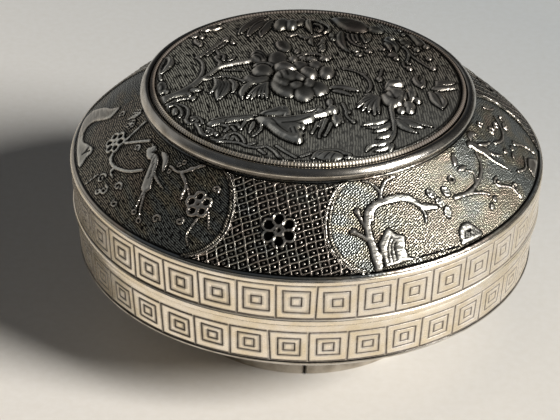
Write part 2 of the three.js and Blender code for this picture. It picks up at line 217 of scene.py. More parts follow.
# %% [markdown]
# **Chased silver** is the metal of the pictures. The chaser set rows of fine strokes into the ground
# to dull it, and left flowers and birds smooth. The strokes are about 0.3 mm apart, which a mesh of
# this size can't hold, so they are a wave texture in real millimetres on the flattened sheet, broken
# by noise where the hand lifted the punch. Where the ground is dotted instead, a pattern of cells
# gives the pits. Either one drives both colour and bump.

# %% Strokes of the ground
STROKE_PITCH = 0.33
PITS_PER_MM = 3.6
chased_silver, tree, shader, cut, sheet = new_metal("chased_silver")
wear, ground, stipple, lattice, film, gap = (
    add(tree, "Attribute", {}, "Fac", attribute_name=name)
    for name in ("wear", "ground", "stipple", "lattice", "film", "gap")
)
strokes_at = add(tree, "Attribute", {}, "Vector", attribute_name="strokes")
rows = add(
    tree, "TexWave",
    {
        "Vector": strokes_at, "Scale": bands(STROKE_PITCH), "Distortion": 3.4,
        "Detail": 2, "Detail Scale": 1.1, "Detail Roughness": 0.6,
    },
    "Fac", wave_type="BANDS", bands_direction="X", wave_profile="SIN",
)
stretched = add(tree, "Mapping", {"Vector": strokes_at, "Scale": (2.8, 1.5, 1)})
lifts = add(tree, "TexNoise", {"Vector": stretched, "Scale": 1, "Detail": 2, "Roughness": 0.6})
held = add(tree, "MapRange", {"Value": lifts, "From Min": 0.36, "From Max": 0.58, "To Min": 0.1})
lines = add(tree, "Math", {0: rows, 1: held}, operation="MULTIPLY")
pits = add(
    tree, "TexVoronoi", {"Vector": strokes_at, "Scale": PITS_PER_MM, "Randomness": 0.5},
    voronoi_dimensions="2D", feature="F1",
)
dots = add(tree, "MapRange", {"Value": pits, "From Min": 0.12, "From Max": 0.6, "To Max": 0.68})
strokes = add(tree, "Mix", {"Factor": stipple, "A": lines, "B": dots})
print("Strokes lie", STROKE_PITCH, "mm apart and pits", round(1 / PITS_PER_MM, 2), "mm")

# %% [markdown]
# The shoulder has a lattice of raised lines a tenth of a millimetre wide, too thin for the mesh as
# well. Each point says instead how many steep and how many flat lines lie before it. The fraction of
# those two numbers tells how far a spot is from the next line and from the small dome in the middle
# of its gap, so the finish can draw both rubbed bright on black.

# %% Lines of the lattice
STEEP_PITCH, FLAT_PITCH = 1.2, 0.85
in_gap = add(tree, "VectorMath", {0: strokes_at}, operation="FRACTION")
from_middle = add(
    tree, "VectorMath",
    {0: in_gap, 1: (STEEP_PITCH, FLAT_PITCH, 0), 2: (-STEEP_PITCH / 2, -FLAT_PITCH / 2, 0)},
    operation="MULTIPLY_ADD",
)
across = add(tree, "VectorMath", {0: from_middle}, operation="ABSOLUTE")
across_steep, across_flat = (add(tree, "SeparateXYZ", {"Vector": across}, axis) for axis in "XY")
from_knob = add(tree, "VectorMath", {0: from_middle}, operation="LENGTH")
steep_line, flat_line, knob = (
    add(tree, "MapRange", {"Value": away, "From Min": begin, "From Max": full, "To Max": bright})
    for away, begin, full, bright in (
        (across_steep, 0.47, 0.55, 1), (across_flat, 0.31, 0.38, 0.85), (from_knob, 0.2, 0.11, 0.42),
    )
)
raised = add(tree, "Math", {0: steep_line, 1: flat_line}, operation="MAXIMUM")
raised = add(tree, "Math", {0: raised, 1: knob}, operation="MAXIMUM")
lattice_colour = add(
    tree, "Mix", {"Factor": raised, "A": linear("#1f1f1d"), "B": linear("#f4efe2")}, data_type="RGBA",
)
print("The lattice is", STEEP_PITCH, "by", FLAT_PITCH, "mm, with a knob about 0.3 mm across in each gap")

# %% [markdown]
# Three more things go into the colour of the metal. It is pale where it stands out and is rubbed, and
# dark where it lies low. A film of tarnish tints the sheet, rose and straw where it is thin and
# blue-grey where it is thick, and is rubbed off the raised lines. Where the shoulder and the plaque
# set it thinner or thicker by place, it is painted light. And a dark outline is drawn against the
# foot of every raised shape, partly dirt that packs there and partly painted shade: each point knows
# its gap to the nearest shape, in millimetres, so the finish can draw that outline crisply.

# %% Chased silver
ground_colour = add(tree, "ValToRGB", {"Fac": strokes}, stops=((0.12, "#1e1b17"), (0.6, "#efebd8")))
worn_colour = add(
    tree, "ValToRGB", {"Fac": wear}, stops=((0.1, "#262520"), (0.45, "#86837a"), (0.9, "#e6e2d6")),
)
metal = add(tree, "Mix", {"Factor": ground, "A": worn_colour, "B": ground_colour}, data_type="RGBA")
metal = add(tree, "Mix", {"Factor": lattice, "A": metal, "B": lattice_colour}, data_type="RGBA")
cloud = add(tree, "TexNoise", {"Vector": sheet, "Scale": 0.22, "Detail": 2})
thin = add(tree, "Math", {0: film, 1: -0.6, 2: 0.45}, operation="MULTIPLY_ADD")
film_colour = add(
    tree, "ValToRGB", {"Fac": add(tree, "Math", {0: cloud, 1: thin}, operation="ADD")},
    stops=((0.36, "#99a0a9"), (0.5, "#b4aea2"), (0.64, "#bfa99f")),
)
metal = add(
    tree, "Mix", {"Factor": film, "A": metal, "B": film_colour}, data_type="RGBA", blend_type="MULTIPLY",
)
# Painted shade and dirt: a dark band just outside the foot of every raised shape.
begins = add(tree, "MapRange", {"Value": gap, "From Min": -0.01, "From Max": 0.03})
ends = add(tree, "MapRange", {"Value": gap, "From Min": 0.1, "From Max": 0.2, "To Min": 1, "To Max": 0})
outline = add(tree, "Math", {0: begins, 1: ends}, operation="MULTIPLY")
dark = add(tree, "Math", {0: cut, 1: outline}, operation="MAXIMUM")
dents = add(tree, "TexNoise", {"Vector": sheet, "Scale": 0.8, "Detail": 2, "Roughness": 0.5})
ground_gloss = add(tree, "Mix", {"Factor": stipple, "A": 0.42, "B": 0.33})
pressed = add(tree, "Mix", {"Factor": ground, "A": 1.0, "B": strokes})
pressed = add(tree, "Mix", {"Factor": lattice, "A": pressed, "B": raised})
hammered = add(tree, "Bump", {"Height": dents, "Strength": 0.6, "Distance": 0.00022})
plug(tree, shader, {
    "Base Color": add(tree, "Mix", {"Factor": dark, "A": metal, "B": linear("#0e0d0b")}, data_type="RGBA"),
    "Roughness": add(tree, "Mix", {"Factor": ground, "A": 0.28, "B": ground_gloss}),
    "Metallic": add(tree, "Mix", {"Factor": ground, "A": 0.97, "B": 0.93}),
    "Normal": add(
        tree, "Bump", {"Height": pressed, "Strength": 1.0, "Distance": 0.00008, "Normal": hammered},
    ),
})
print("Chased silver has", len(tree.nodes), "nodes")

# %% [markdown]
# ## Turned parts
# Most parts of the box are rings. A ring is a profile carried round the axis, so one grid of points
# does for all of them: one way goes round, the other along the profile. Corners are eased a little,
# because a sharp edge never catches the light and a worn edge always does.

# %% A mesh from a grid of points
def grid_faces(count, rows, closed=(True, True)):
    """Quads of a grid of points. closed says whether it closes on itself round and along."""
    spans = [np.arange(n if shut else n - 1) for n, shut in zip((count, rows), closed)]
    i, j = (a.ravel() for a in np.meshgrid(*spans, indexing="ij"))
    i2, j2 = (i + 1) % count, (j + 1) % rows
    return np.stack([i * rows + j, i2 * rows + j, i2 * rows + j2, i * rows + j2], 1).tolist()


def make(name, points, faces, finish, sharp=50, **readings):
    """A mesh from points in millimetres, smooth but for its sharp edges, with readings at its points."""
    mesh = bpy.data.meshes.new(name)
    mesh.from_pydata((np.asarray(points) / 1000).tolist(), [], faces)
    for reading, values in readings.items():
        values = np.asarray(values, np.float32)
        kind, field = ("FLOAT_VECTOR", "vector") if values.size > len(points) else ("FLOAT", "value")
        mesh.attributes.new(reading, kind, "POINT").data.foreach_set(field, values.ravel())
    mesh.shade_smooth()
    mesh.set_sharp_from_angle(angle=math.radians(sharp))
    mesh.materials.append(finish)
    made = bpy.data.objects.new(name, mesh)
    bpy.context.scene.collection.objects.link(made)
    print(f"{name}: {len(mesh.vertices)} points, {len(mesh.polygons)} faces")
    return made


def stands_for(made, body, slot, *nodes):
    """Ties a finished piece to the body it moves with and hides the CAD nodes it replaces. slot is not used.
    """
    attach(made, body)
    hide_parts(*nodes)


print("A closed ring of 6 by 4 points has", len(grid_faces(6, 4)), "faces")

# %% A turned ring
def eased(profile, ease, steps=3):
    """The profile with its corners turned to small curves."""
    corners = np.array(profile, float)
    out = []
    for k, corner in enumerate(corners):
        back_way, on_way = corners[k - 1] - corner, corners[(k + 1) % len(corners)] - corner
        if corner[0] == 0:
            out.append(corner)
            continue
        start = corner + back_way * min(ease / np.hypot(*back_way), 0.45)
        end = corner + on_way * min(ease / np.hypot(*on_way), 0.45)
        for t in np.linspace(0, 1, steps + 1):
            out.append((1 - t) ** 2 * start + 2 * t * (1 - t) * corner + t * t * end)
    return np.array(out)


def round_points(radius, degrees, height):
    """Points round the axis, from the radius, the angle and the height of each."""
    turn = np.radians(degrees)
    x, y, z = np.broadcast_arrays(radius * np.cos(turn), radius * np.sin(turn), height)
    return np.stack([x, y, z], -1).reshape(-1, 3)


def on_sheet(points):
    """Where each point is on the flattened sheet: millimetres round, and millimetres up or inwards."""
    x, y, z = points.T
    radius = np.hypot(x, y)
    return np.stack([np.arctan2(y, x) * np.maximum(radius, 1), z - radius, radius], 1)


def turned(name, profile, ease=0.08, count=360, seams=(), lean=0):
    """A ring or disc of worn silver, dark where it comes near one of the seams (radius, height), whose
    top leans over to the right by lean, in millimetres down for each one across."""
    outline = eased(profile, ease)
    degrees = np.arange(count)[:, None] * 360 / count
    points = round_points(outline[:, 0], degrees, outline[:, 1])
    faces = grid_faces(count, len(outline))
    if outline[:, 0].min() == 0:
        points = np.vstack([points, [[0, 0, outline[-1, 1]], [0, 0, outline[0, 1]]]])
        top, bottom, rows = len(points) - 2, len(points) - 1, len(outline)
        middle = {i * rows: bottom for i in range(count)}
        middle |= {i * rows + rows - 1: top for i in range(count)}
        faces = [[middle.get(v, v) for v in face] for face in faces]
        faces = [list(dict.fromkeys(face)) for face in faces]
        faces = [face for face in faces if len(face) > 2]
    radius = np.hypot(points[:, 0], points[:, 1])
    cut = np.zeros(len(points))
    for seam_radius, seam_height in seams:
        away = np.hypot(radius - seam_radius, points[:, 2] - seam_height)
        cut = np.maximum(cut, np.clip(1.2 - away / 0.16, 0, 1))
    points[:, 2] -= lean * points[:, 0] * (points[:, 2] - points[:, 2].min()) / np.ptp(points[:, 2])
    return make(name, points, faces, worn_silver, cut=cut, sheet=on_sheet(points))


square = [(1, 0), (2, 0), (2, 1), (1, 1)]
print("Eased, the", len(square), "corners of a square become", len(eased(square, 0.1)), "points")

# %% [markdown]
# ### Base
# The foot is a strip bent round and butt-soldered: its ends don't quite meet, and the dark gap faces
# the camera. A closed ring can't show that, so the foot is the same grid left open, with two caps.
# The dish closes the bottom, and its edge shows as a bright lip. The collar guides the lid.

# %% Foot ring
foot_wall, seam_gap = 0.9, 0.25
seam_at, seam_half = -89.5, math.degrees(seam_gap / 2 / foot_radius)
strip = eased(
    [
        (foot_radius - foot_wall, foot_low), (foot_radius, foot_low),
        (foot_radius, foot_high), (foot_radius - foot_wall, foot_high),
    ],
    0.15,
)
angles = np.linspace(seam_at + seam_half, seam_at + 360 - seam_half, 360)
points = round_points(strip[:, 0], angles[:, None], strip[:, 1])
off_seam = np.abs((angles - seam_at + 180) % 360 - 180)
bent = 0.04 * np.exp(-off_seam / 3)
points[:, :2] *= (1 - np.repeat(bent, len(strip)) / foot_radius)[:, None]
rows = len(strip)
faces = grid_faces(len(angles), rows, closed=(False, True))
faces += [list(range(rows))[::-1], [len(points) - rows + j for j in range(rows)]]
from_seam = np.repeat(off_seam, rows) * math.radians(foot_radius)
# The top of the strip is darkened where it meets the dish: a dark joint, and partly painted shade under the
# dish.
cut = np.clip(1.3 - from_seam / 0.25, 0, 1) + np.clip(1 - (foot_high - points[:, 2]) / 0.3, 0, 1)
foot = make("foot_strip", points, faces, worn_silver, cut=np.clip(cut, 0, 1), sheet=on_sheet(points))
stands_for(foot, "base", "aged_silver", "foot_ring")

# %% Dish
def swollen(start, end, swell, steps):
    """Points of a slope that swells a little out of the straight line from start to end."""
    start, end = np.array(start, float), np.array(end, float)
    run = end - start
    out = np.array([run[1], -run[0]]) / np.hypot(*run)
    t = np.linspace(0, 1, steps)[:, None]
    return start + run * t + out * (4 * swell * t * (1 - t))


dish_sheet = 0.7
flange = dish_high - 0.55
outside = swollen((foot_radius, dish_low), (lip_radius - 0.275, flange), 0.3, 12)
inside = outside + np.array([-0.56, 0.42])
dish = turned(
    "dish",
    [
        (0, dish_low), *outside.tolist(), (lip_radius, flange + 0.275), (lip_radius - 0.1, dish_high),
        (inside[-1][0], dish_high), *inside[2:-2][::-1].tolist(), (0, dish_low + dish_sheet),
    ],
    # The dark line at the top of the lip is a dark joint, and partly painted shade in the groove under the
    # hoop.
    seams=[(lip_radius - 0.1, dish_high), (foot_radius, dish_low)],
)
stands_for(dish, "base", "aged_silver", "base_dish")

# %% Collar
collar_bore = collar_radius - 0.7
collar = turned(
    "collar",
    [
        (collar_bore, collar_low), (collar_radius, collar_low), (collar_radius, collar_high),
        (collar_bore, collar_high),
    ],
    ease=0.22,
    seams=[(collar_radius, base_high), (collar_bore, collar_low)],
)
stands_for(collar, "base", "aged_silver", "inner_collar")

# %% [markdown]
# ### Fret hoops
# Each hoop is engraved with 39 panels, a square in a square between upright lines. A graver cuts a
# V about 0.2 mm wide, drawn a quarter wider here so that it shows. A plain fine grid would need a
# million faces for it, so the grid's own columns and rows lie along the cuts: four of them make each
# cut, two for its edges and two for its floor. Tarnish stays in a cut and creeps a little way over
# its edges. No two panels are alike on handwork, so every line is set a little out of true.

# %% Layout of one panel
CUT_WIDTH = 0.26
CUT_DEPTH = 0.07


def tracks(gaps):
    """The grid lines across a panel: the line each belongs to, its share of the way to the next line,
    its offset from there and whether it is the floor of a cut. gaps has a number of fillers per gap."""
    out = []
    for line, fillers in enumerate(gaps):
        for offset, floor in ((-0.5, 0), (-0.22, 1), (0.22, 1), (0.5, 0)):
            out.append((line, 0, offset * CUT_WIDTH, floor))
        for k in range(fillers):
            out.append((line, (k + 1) / (fillers + 1), 0, 0))
    return np.array(out, float)


def is_cut(own, across):
    """Whether the cuts that run along the tracks own are open where the tracks across cross them. A
    line of the frame, 0 or 5, runs the whole way, one of the outer square from line 1 to line 4, and
    one of the inner square from line 2 to line 3."""
    nested = np.minimum(own[:, 0], 5 - own[:, 0]).astype(int)
    begin = np.array([-0.02, 0.99, 1.99])[nested][:, None]
    on_edge = np.sign(across[:, 2]) * (np.abs(across[:, 2]) > 0.3 * CUT_WIDTH)
    place = across[:, 0] + across[:, 1] + 0.04 * on_edge
    return (own[:, 3] > 0)[:, None] & (place >= begin) & (place <= 5 - begin)


columns = tracks([2, 1, 2, 1, 2])
print(len(columns), "columns across a panel")

# %% Lines of the panels
PANELS = 39


def slips(size):
    """How far the hand slips in each panel."""
    return chance.normal(0, size, PANELS)[:, None]


def upright_lines(width, outer, inner, rows):
    """Where the six upright lines of each panel are, at each of its rows."""
    level = (rows[:, 0] + rows[:, 1]) / 5 - 0.5
    divider = slips(0.06) + slips(0.09) * level
    lines = np.zeros((PANELS, 6, len(rows)))
    lines[:, 0], lines[:, 5] = divider, width + np.roll(divider, -1, 0)
    middle = width / 2 + slips(0.07)
    for line, share, side, slant in (
        (1, outer, -1, 0.07), (4, outer, 1, 0.07), (2, inner, -1, 0.04), (3, inner, 1, 0.04),
    ):
        lean = slips(slant) * level
        lines[:, line] = middle + side * width * share / 2 + slips(0.05) + lean
    return lines


def level_lines(low, high, outer, inner):
    """Where the six level lines of each panel are, at each of its columns."""
    across = (columns[:, 0] + columns[:, 1]) / 5 - 0.5
    inside_square = np.clip((0.42 - np.abs(across)) / 0.12, 0, 1)
    lines = np.zeros((PANELS, 6, len(columns)))
    lines[:, 0], lines[:, 5] = low, high
    middle = (low + high) / 2 + slips(0.05) * inside_square
    for line, share, side, slant in (
        (1, outer, -1, 0.09), (4, outer, 1, 0.09), (2, inner, -1, 0.05), (3, inner, 1, 0.05),
    ):
        lean = slips(slant) * across
        lines[:, line] = middle + side * (high - low) * share / 2 + (slips(0.05) + lean) * inside_square
    return lines


def spread(lines, own):
    """Where the tracks own lie: some share of the way from one line to the next, and an offset."""
    line = own[:, 0].astype(int)
    share, offset = own[:, 1, None], own[:, 2, None]
    return lines[:, line] * (1 - share) + lines[:, np.minimum(line + 1, 5)] * share + offset


print("Each hoop has", PANELS, "panels, so one is", round(2 * math.pi * rim_radius / PANELS, 1), "mm wide")

# %% A fret hoop
def fret_hoop(
    name, low, high, low_radius, high_radius, bore, panel_low, panel_high, shares, first, body, node,
):
    """An engraved hoop, whose panels begin at first, in degrees. shares are the outer and the inner
    square's width and height, as parts of a panel."""
    rows = tracks([2, 1, 2, 1, 2, 0])
    fills_hoop = panel_high >= high - 0.2
    if fills_hoop:
        rows = rows[(rows[:, 0] < 5) | (rows[:, 2] <= 0)]
    width = 2 * math.pi * high_radius / PANELS
    outer_wide, outer_tall, inner_wide, inner_tall = shares
    x = spread(upright_lines(width, outer_wide, inner_wide, rows), columns)
    z = spread(level_lines(panel_low, panel_high, outer_tall, inner_tall), rows).transpose(0, 2, 1)

    # Cuts, a little uneven in depth
    deep = is_cut(columns, rows) | is_cut(rows, columns).T
    cut = np.repeat(deep[None].astype(float), PANELS, 0)
    cut *= 0.85 + 0.15 * chance.random(cut.shape)
    angle = np.radians(first) + (np.arange(PANELS)[:, None, None] * width + x) / high_radius
    angle, z, cut = (v.reshape(-1, len(rows)) for v in (angle, z, cut))

    # Rows above and below the panels, then over the top, down inside and under
    top_rows = [high] if fills_hoop else [panel_high + 0.35, high - 0.12, high]
    z = np.hstack([np.full((len(z), 1), low), z, np.tile(top_rows, (len(z), 1))])
    z[:, 1] = np.maximum(z[:, 1], low + 0.02)
    angle = np.hstack([angle[:, :1], angle, np.repeat(angle[:, -1:], len(top_rows), 1)])
    cut = np.hstack([cut[:, :1], cut, np.repeat(0 * cut[:, -1:], len(top_rows), 1)])
    radius = low_radius + (high_radius - low_radius) * (z - low) / (high - low)
    uneven = sum(0.012 * np.sin(n * angle + p + 0.4 * z) for n, p in ((5, 1), (11, 2), (17, 4), (39, 0)))
    radius = radius - CUT_DEPTH * cut + np.minimum(uneven - 0.03, 0)
    radius[:, 0] -= 0.06
    radius[:, -1] -= 0.06
    for inner_z in (high, low):
        angle = np.hstack([angle, angle[:, :1]])
        z = np.hstack([z, np.full((len(z), 1), inner_z)])
        cut = np.hstack([cut, np.zeros((len(cut), 1))])
        radius = np.hstack([radius, np.full((len(radius), 1), bore)])
    points = np.stack([radius * np.cos(angle), radius * np.sin(angle), z], -1).reshape(-1, 3)
    sheet = np.stack([angle * high_radius, z, 0 * z], -1).reshape(-1, 3)
    stain = cut
    for axis, step in ((0, 1), (0, -1), (1, 1), (1, -1)):
        stain = np.maximum(stain, 0.55 * np.roll(cut, step, axis))
    hoop = make(name, points, grid_faces(*z.shape), rubbed_silver, sharp=35, cut=stain.ravel(), sheet=sheet)
    stands_for(hoop, body, "bright_silver", node)


# %% The two hoops
mouth_radius = rim_radius - 0.3
fret_hoop(
    "lid_fret", low=wall_low, high=wall_high, low_radius=mouth_radius, high_radius=rim_radius,
    bore=mouth_radius - 0.9, panel_low=wall_low + 0.09, panel_high=wall_high - 0.09,
    shares=(0.64, 0.64, 0.25, 0.24), first=-96.8, body="lid", node="lid_wall",
)
fret_hoop(
    "base_fret", low=dish_high, high=base_high, low_radius=base_radius - 0.4, high_radius=base_radius,
    bore=collar_radius + 0.05, panel_low=dish_high + 0.09, panel_high=dish_high + 4.55,
    shares=(0.57, 0.59, 0.26, 0.25), first=-89.25, body="base", node="base_wall",
)

# %% [markdown]
# ### Rings of the lid
# The mouth wire is a half-round wire that stiffens the lid's open edge. The crown plate closes the
# top, out of sight, and the bezel is a drawn moulding that holds the plaque. Its curve is what makes
# the long streaks of light round the top of the box. It was soldered on a little out of level, so
# that it and everything on it lean to the right by 1 mm in 100.

# %% Mouth wire, crown plate and bezel
mouth_wire = turned(
    "mouth_wire",
    [
        (mouth_radius - 0.9, mouth_low), (mouth_radius - 0.12, mouth_low),
        (mouth_proud - 0.02, mouth_low + 0.22), (mouth_proud, (mouth_low + mouth_high) / 2),
        (mouth_proud - 0.02, mouth_high - 0.22), (mouth_radius - 0.08, mouth_high),
        (mouth_radius - 0.9, mouth_high),
    ],
    seams=[(mouth_radius - 0.05, mouth_high), (mouth_radius - 0.12, mouth_low)],
)
mouth_wire.data.materials[0] = rubbed_silver
stands_for(mouth_wire, "lid", "bright_silver", "lid_mouth_wire")

crown = turned(
    "crown_plate",
    [(0, neck_high), (neck_radius, neck_high), (neck_radius, crown_high), (0, crown_high)],
    seams=[(neck_radius, neck_high), (neck_radius, crown_high)],
)
stands_for(crown, "lid", "aged_silver", "lid_crown_plate")

CROWN_LEAN = 0.01
bezel_bore = plaque_radius + 0.05
bezel_middle = (bezel_radius + bezel_bore) / 2
bezel = turned(
    "bezel",
    [
        (bezel_bore, bezel_low), (neck_radius, bezel_low), (bezel_radius - 0.08, bezel_low + 0.03),
        (bezel_radius, bezel_low + 0.14), (bezel_radius - 0.12, bezel_low + 0.46),
        (bezel_radius - 0.36, bezel_low + 0.78),
        (bezel_middle - 0.06, bezel_high + 0.1), (bezel_bore + 0.1, bezel_high - 0.02),
        (bezel_bore, bezel_high - 0.3),
    ],
    ease=0.35,
    # The dark at the bezel's foot is a dark joint, and partly a painted shadow in the gap where it meets the
    # shoulder.
    seams=[(neck_radius, bezel_low), (bezel_bore, bezel_high - 0.3), (bezel_bore + 0.08, bezel_high - 0.1)],
    lean=CROWN_LEAN,
)
stands_for(bezel, "lid", "aged_silver", "medallion_bezel")

# %% [markdown]
# The milled wire hides the seam between bezel and plaque. It is half-round wire into which a wheel
# has pressed about 300 ridges, 0.42 mm apart, so the ring's section swells and shrinks as it goes
# round. Dirt stays between the ridges. The back of the ring is painted dark as painted shade, where
# it lies in shadow behind the plaque's raised edge.

# %% Milled wire
RIDGES = 300
wire_half = 0.3
wire_radius = plaque_radius - wire_half
steps = np.arange(RIDGES * 4) * 360 / (RIDGES * 4)
ridge = 0.5 + 0.5 * np.cos(np.radians(steps) * RIDGES)
section = np.array([
    (-1, -1), (-1, 0.3), (-0.8, 0.8), (-0.35, 1), (0, 0.9), (0.35, 0.55), (0.7, 0.1), (0.95, -0.4),
    (1, -1),
])
swell = wire_half * (0.66 + 0.34 * ridge)[:, None]
radius = wire_radius + swell * section[:, 0]
height = (border_high + wire_high) / 2 + 0.87 * swell * section[:, 1]
points = round_points(radius, steps[:, None], height)
points[:, 2] -= CROWN_LEAN * points[:, 0]
# Painted shade: the ring is painted darker towards its back, which lies in shadow.
painted_back_shade = np.clip(2.2 * np.cos(np.radians(steps - 70)) + 2, 0, 0.9)
groove_dirt_and_back_shade = np.repeat(np.maximum(np.clip(1 - 2.2 * ridge, 0, 1), painted_back_shade), len(section))
# cut here carries the dirt between the ridges and the painted shade at the back.
wire = make(
    "milled_ring", points, grid_faces(len(steps), len(section)), rubbed_silver, sharp=80,
    cut=groove_dirt_and_back_shade, sheet=on_sheet(points),
)
stands_for(wire, "lid", "aged_silver", "milled_wire")

# %% [markdown]
# ## Chaser's tools
# A chaser raises a picture with a few punches and gravers: a round one for petals and berries, a
# line for stems, a leaf shape with a groove down its middle, a ring, and a sharp line that cuts in.
# The code does the same on a height map of the sheet. Every tool only touches the points near it,
# and where two shapes meet the higher one shows, which leaves the crisp creases of real chasing.

# %% Lines through places
def flowing(places, steps=8):
    """A smooth line through the places, as a hand draws it."""
    p = np.array(places, float)
    p = np.vstack([2 * p[0] - p[1], p, 2 * p[-1] - p[-2]])
    t = np.linspace(0, 1, steps, endpoint=False)[:, None]
    out = [
        0.5 * (2 * b + (c - a) * t + (2 * a - 5 * b + 4 * c - d) * t**2 + (3 * b - 3 * c + d - a) * t**3)
        for a, b, c, d in zip(p[:-3], p[1:-2], p[2:-1], p[3:])
    ]
    return np.vstack([*out, p[-2:-1]])


def beside(x, y, path):
    """For each point: how far it is from the path, on which side, and how far along, from 0 to 1."""
    begin, run = path[:-1], np.diff(path, axis=0)
    length = np.hypot(*run.T) + 1e-9
    px, py = x[:, None] - begin[:, 0], y[:, None] - begin[:, 1]
    t = np.clip((px * run[:, 0] + py * run[:, 1]) / length**2, 0, 1)
    away = np.hypot(px - t * run[:, 0], py - t * run[:, 1])
    k = away.argmin(1)
    row = np.arange(len(x))
    side = np.sign(run[k, 0] * py[row, k] - run[k, 1] * px[row, k])
    start = np.concatenate([[0], np.cumsum(length)])
    return away[row, k], side, (start[k] + t[row, k] * length[k]) / start[-1]


def scroll(x, y, radius, start, sweep, end_radius=0.15):
    """Places along a scroll that winds in to its middle. Angles are in degrees."""
    t = np.linspace(0, 1, 10)
    turn = np.radians(start + sweep * t)
    size = radius + (end_radius - radius) * t
    return np.stack([x + size * np.cos(turn), y + size * np.sin(turn)], 1)


print("A line through 3 places is drawn with", len(flowing([(0, 0), (1, 1), (2, 0)])), "points")

# %% The tools
class Chasing:
    """A picture on a sheet: the height of each point, how deep a graver has cut there, and the gap to
    the nearest raised shape in millimetres, which is below 0 inside one."""

    def __init__(self, x, y, broad=1):
        self.x, self.y, self.broad = x, y, broad
        self.height = np.zeros(len(x))
        self.cut = np.zeros(len(x))
        self.gap = np.ones(len(x))

    def near(self, places, reach):
        """The numbers of the points within reach of the places."""
        low, high = places.min(0) - reach - 0.4, places.max(0) + reach + 0.4
        x, y = self.x, self.y
        return np.nonzero((x > low[0]) & (x < high[0]) & (y > low[1]) & (y < high[1]))[0]

    def raise_to(self, here, lift, gap):
        """Raises the points here to a height where they are lower, and closes the cuts under it."""
        self.height[here] = np.maximum(self.height[here], lift)
        self.gap[here] = np.minimum(self.gap[here], gap)
        self.cut[here] *= 1 - np.clip(lift * 8, 0, 1)

    def boss(self, x, y, across, along, height, turn=0, rim=0):
        """A round swelling: a petal, a berry or a stone. rim above 0 hollows it and raises its edge."""
        here = self.near(np.array([[x, y]]), max(across, along))
        c, s = math.cos(math.radians(turn)), math.sin(math.radians(turn))
        dx, dy = self.x[here] - x, self.y[here] - y
        out = np.hypot((dx * c + dy * s) / across, (dy * c - dx * s) / along)
        dome = np.sqrt(np.clip(1 - out**2.5, 0, 1))
        lift = height * dome if rim == 0 else height * np.minimum(1, 3 * dome) * (1 - rim + rim * out**3)
        self.raise_to(here, lift, (out - 1) * min(across, along))

    def stem(self, places, start, end, height, flow=True):
        """A branch, tendril or line from one width to another, round in section, or flatter if broad."""
        path = flowing(places) if flow else np.array(places, float)
        here = self.near(path, max(start, end))
        away, _, along = beside(self.x[here], self.y[here], path)
        half = (start + (end - start) * along) / 2 * self.broad
        round_top = np.sqrt(np.clip(1 - (away / half) ** 2, 0, 1))
        self.raise_to(here, height * np.minimum(1, round_top * self.broad**2), away - half)

    def leaf(self, places, width, height, ribs=1, veins=0, tip=0.8):
        """A leaf, petal or feather along a line, with ribs along it and veins to its sides."""
        path = flowing(places)
        here = self.near(path, width)
        away, side, along = beside(self.x[here], self.y[here], path)
        half = width / 2 * np.sin(math.pi * np.clip(along, 0.001, 0.999) ** tip) ** 0.8 + 1e-6
        u = side * away / half
        dome = np.sqrt(np.clip(1 - u**2, 0, 1))
        groove = np.exp(-((u / 0.16) ** 2)) if ribs == 1 else 0.5 - 0.5 * np.cos(math.pi * ribs * (u + 1))
        groove = groove if ribs else 0
        vein = 0.5 + 0.5 * np.cos(2 * math.pi * (veins * along - 1.1 * np.abs(u)))
        lift = height * dome * (1 - 0.3 * groove) * (1 - (0.18 * vein if veins else 0))
        self.raise_to(here, lift, away - half)

    def petal(self, outline, height, edge=0.2, hollow=0.0):
        """A raised shape inside an outline, rounded at its edge and hollowed in its middle."""
        path = flowing([*outline, outline[0]], 5)
        here = self.near(path, 0.2)
        x, y = self.x[here], self.y[here]
        x0, y0, x1, y1 = path[:-1, 0], path[:-1, 1], path[1:, 0], path[1:, 1]
        straddles = (y0 > y[:, None]) != (y1 > y[:, None])
        crossing = x0 + (y[:, None] - y0) * (x1 - x0) / np.where(y1 == y0, 1e-9, y1 - y0)
        inside = (straddles & (x[:, None] < crossing)).sum(1) % 2 == 1
        away, _, _ = beside(x, y, path)
        t = np.clip(away / edge, 0, 1)
        lift = np.sqrt(1 - (1 - t) ** 2) - hollow * np.clip((away / edge - 0.5) / 1.5, 0, 1)
        self.raise_to(here, np.where(inside, height * lift, 0), np.where(inside, -away, away))

    def graver(self, places, width=0.16, depth=0.06, flow=True):
        """A sharp line cut into what is there, dark with old tarnish."""
        path = flowing(places) if flow else np.array(places, float)
        here = self.near(path, width)
        away, _, _ = beside(self.x[here], self.y[here], path)
        bite = np.clip(1.15 - away / width, 0, 1)
        self.height[here] -= depth * bite
        self.cut[here] = np.maximum(self.cut[here], bite)

    def ring(self, x, y, radius, width, height):
        """A raised ring, such as the eye of a flower."""
        turn = np.radians(np.arange(0, 361, 20))
        edge = np.stack([x + radius * np.cos(turn), y + radius * np.sin(turn)], 1)
        self.stem(edge, width, width, height, flow=False)

    def blossom(self, x, y, reach, count, height, turn=90):
        """A flower seen from above: petals that a raised line goes round, about a ring."""
        t = np.radians(np.arange(0, 361, 24))
        for k in range(count):
            a = math.radians(turn + 360 * k / count)
            out, wide = 0.36 * reach * np.cos(t), 0.64 * reach * math.sin(math.pi / count) * np.sin(t)
            out += 0.62 * reach
            edge_x = x + out * math.cos(a) - wide * math.sin(a)
            edge_y = y + out * math.sin(a) + wide * math.cos(a)
            line = min(0.3, reach / 5)
            self.stem(np.stack([edge_x, edge_y], 1), line, line, height, flow=False)
        self.ring(x, y, reach / 6, min(0.26, reach / 6), height)


print("The chaser has", len([n for n in dir(Chasing) if not n.startswith("_")]), "tools")

# %% [markdown]
# Once a sheet is chased, the finish has to know where a cloth reaches and where dirt stays. Both come
# from the height map itself: a blurred copy of it says how high the neighbourhood of a spot is, and
# what stands out of that is rubbed, while what lies lower is as dark as a cut.

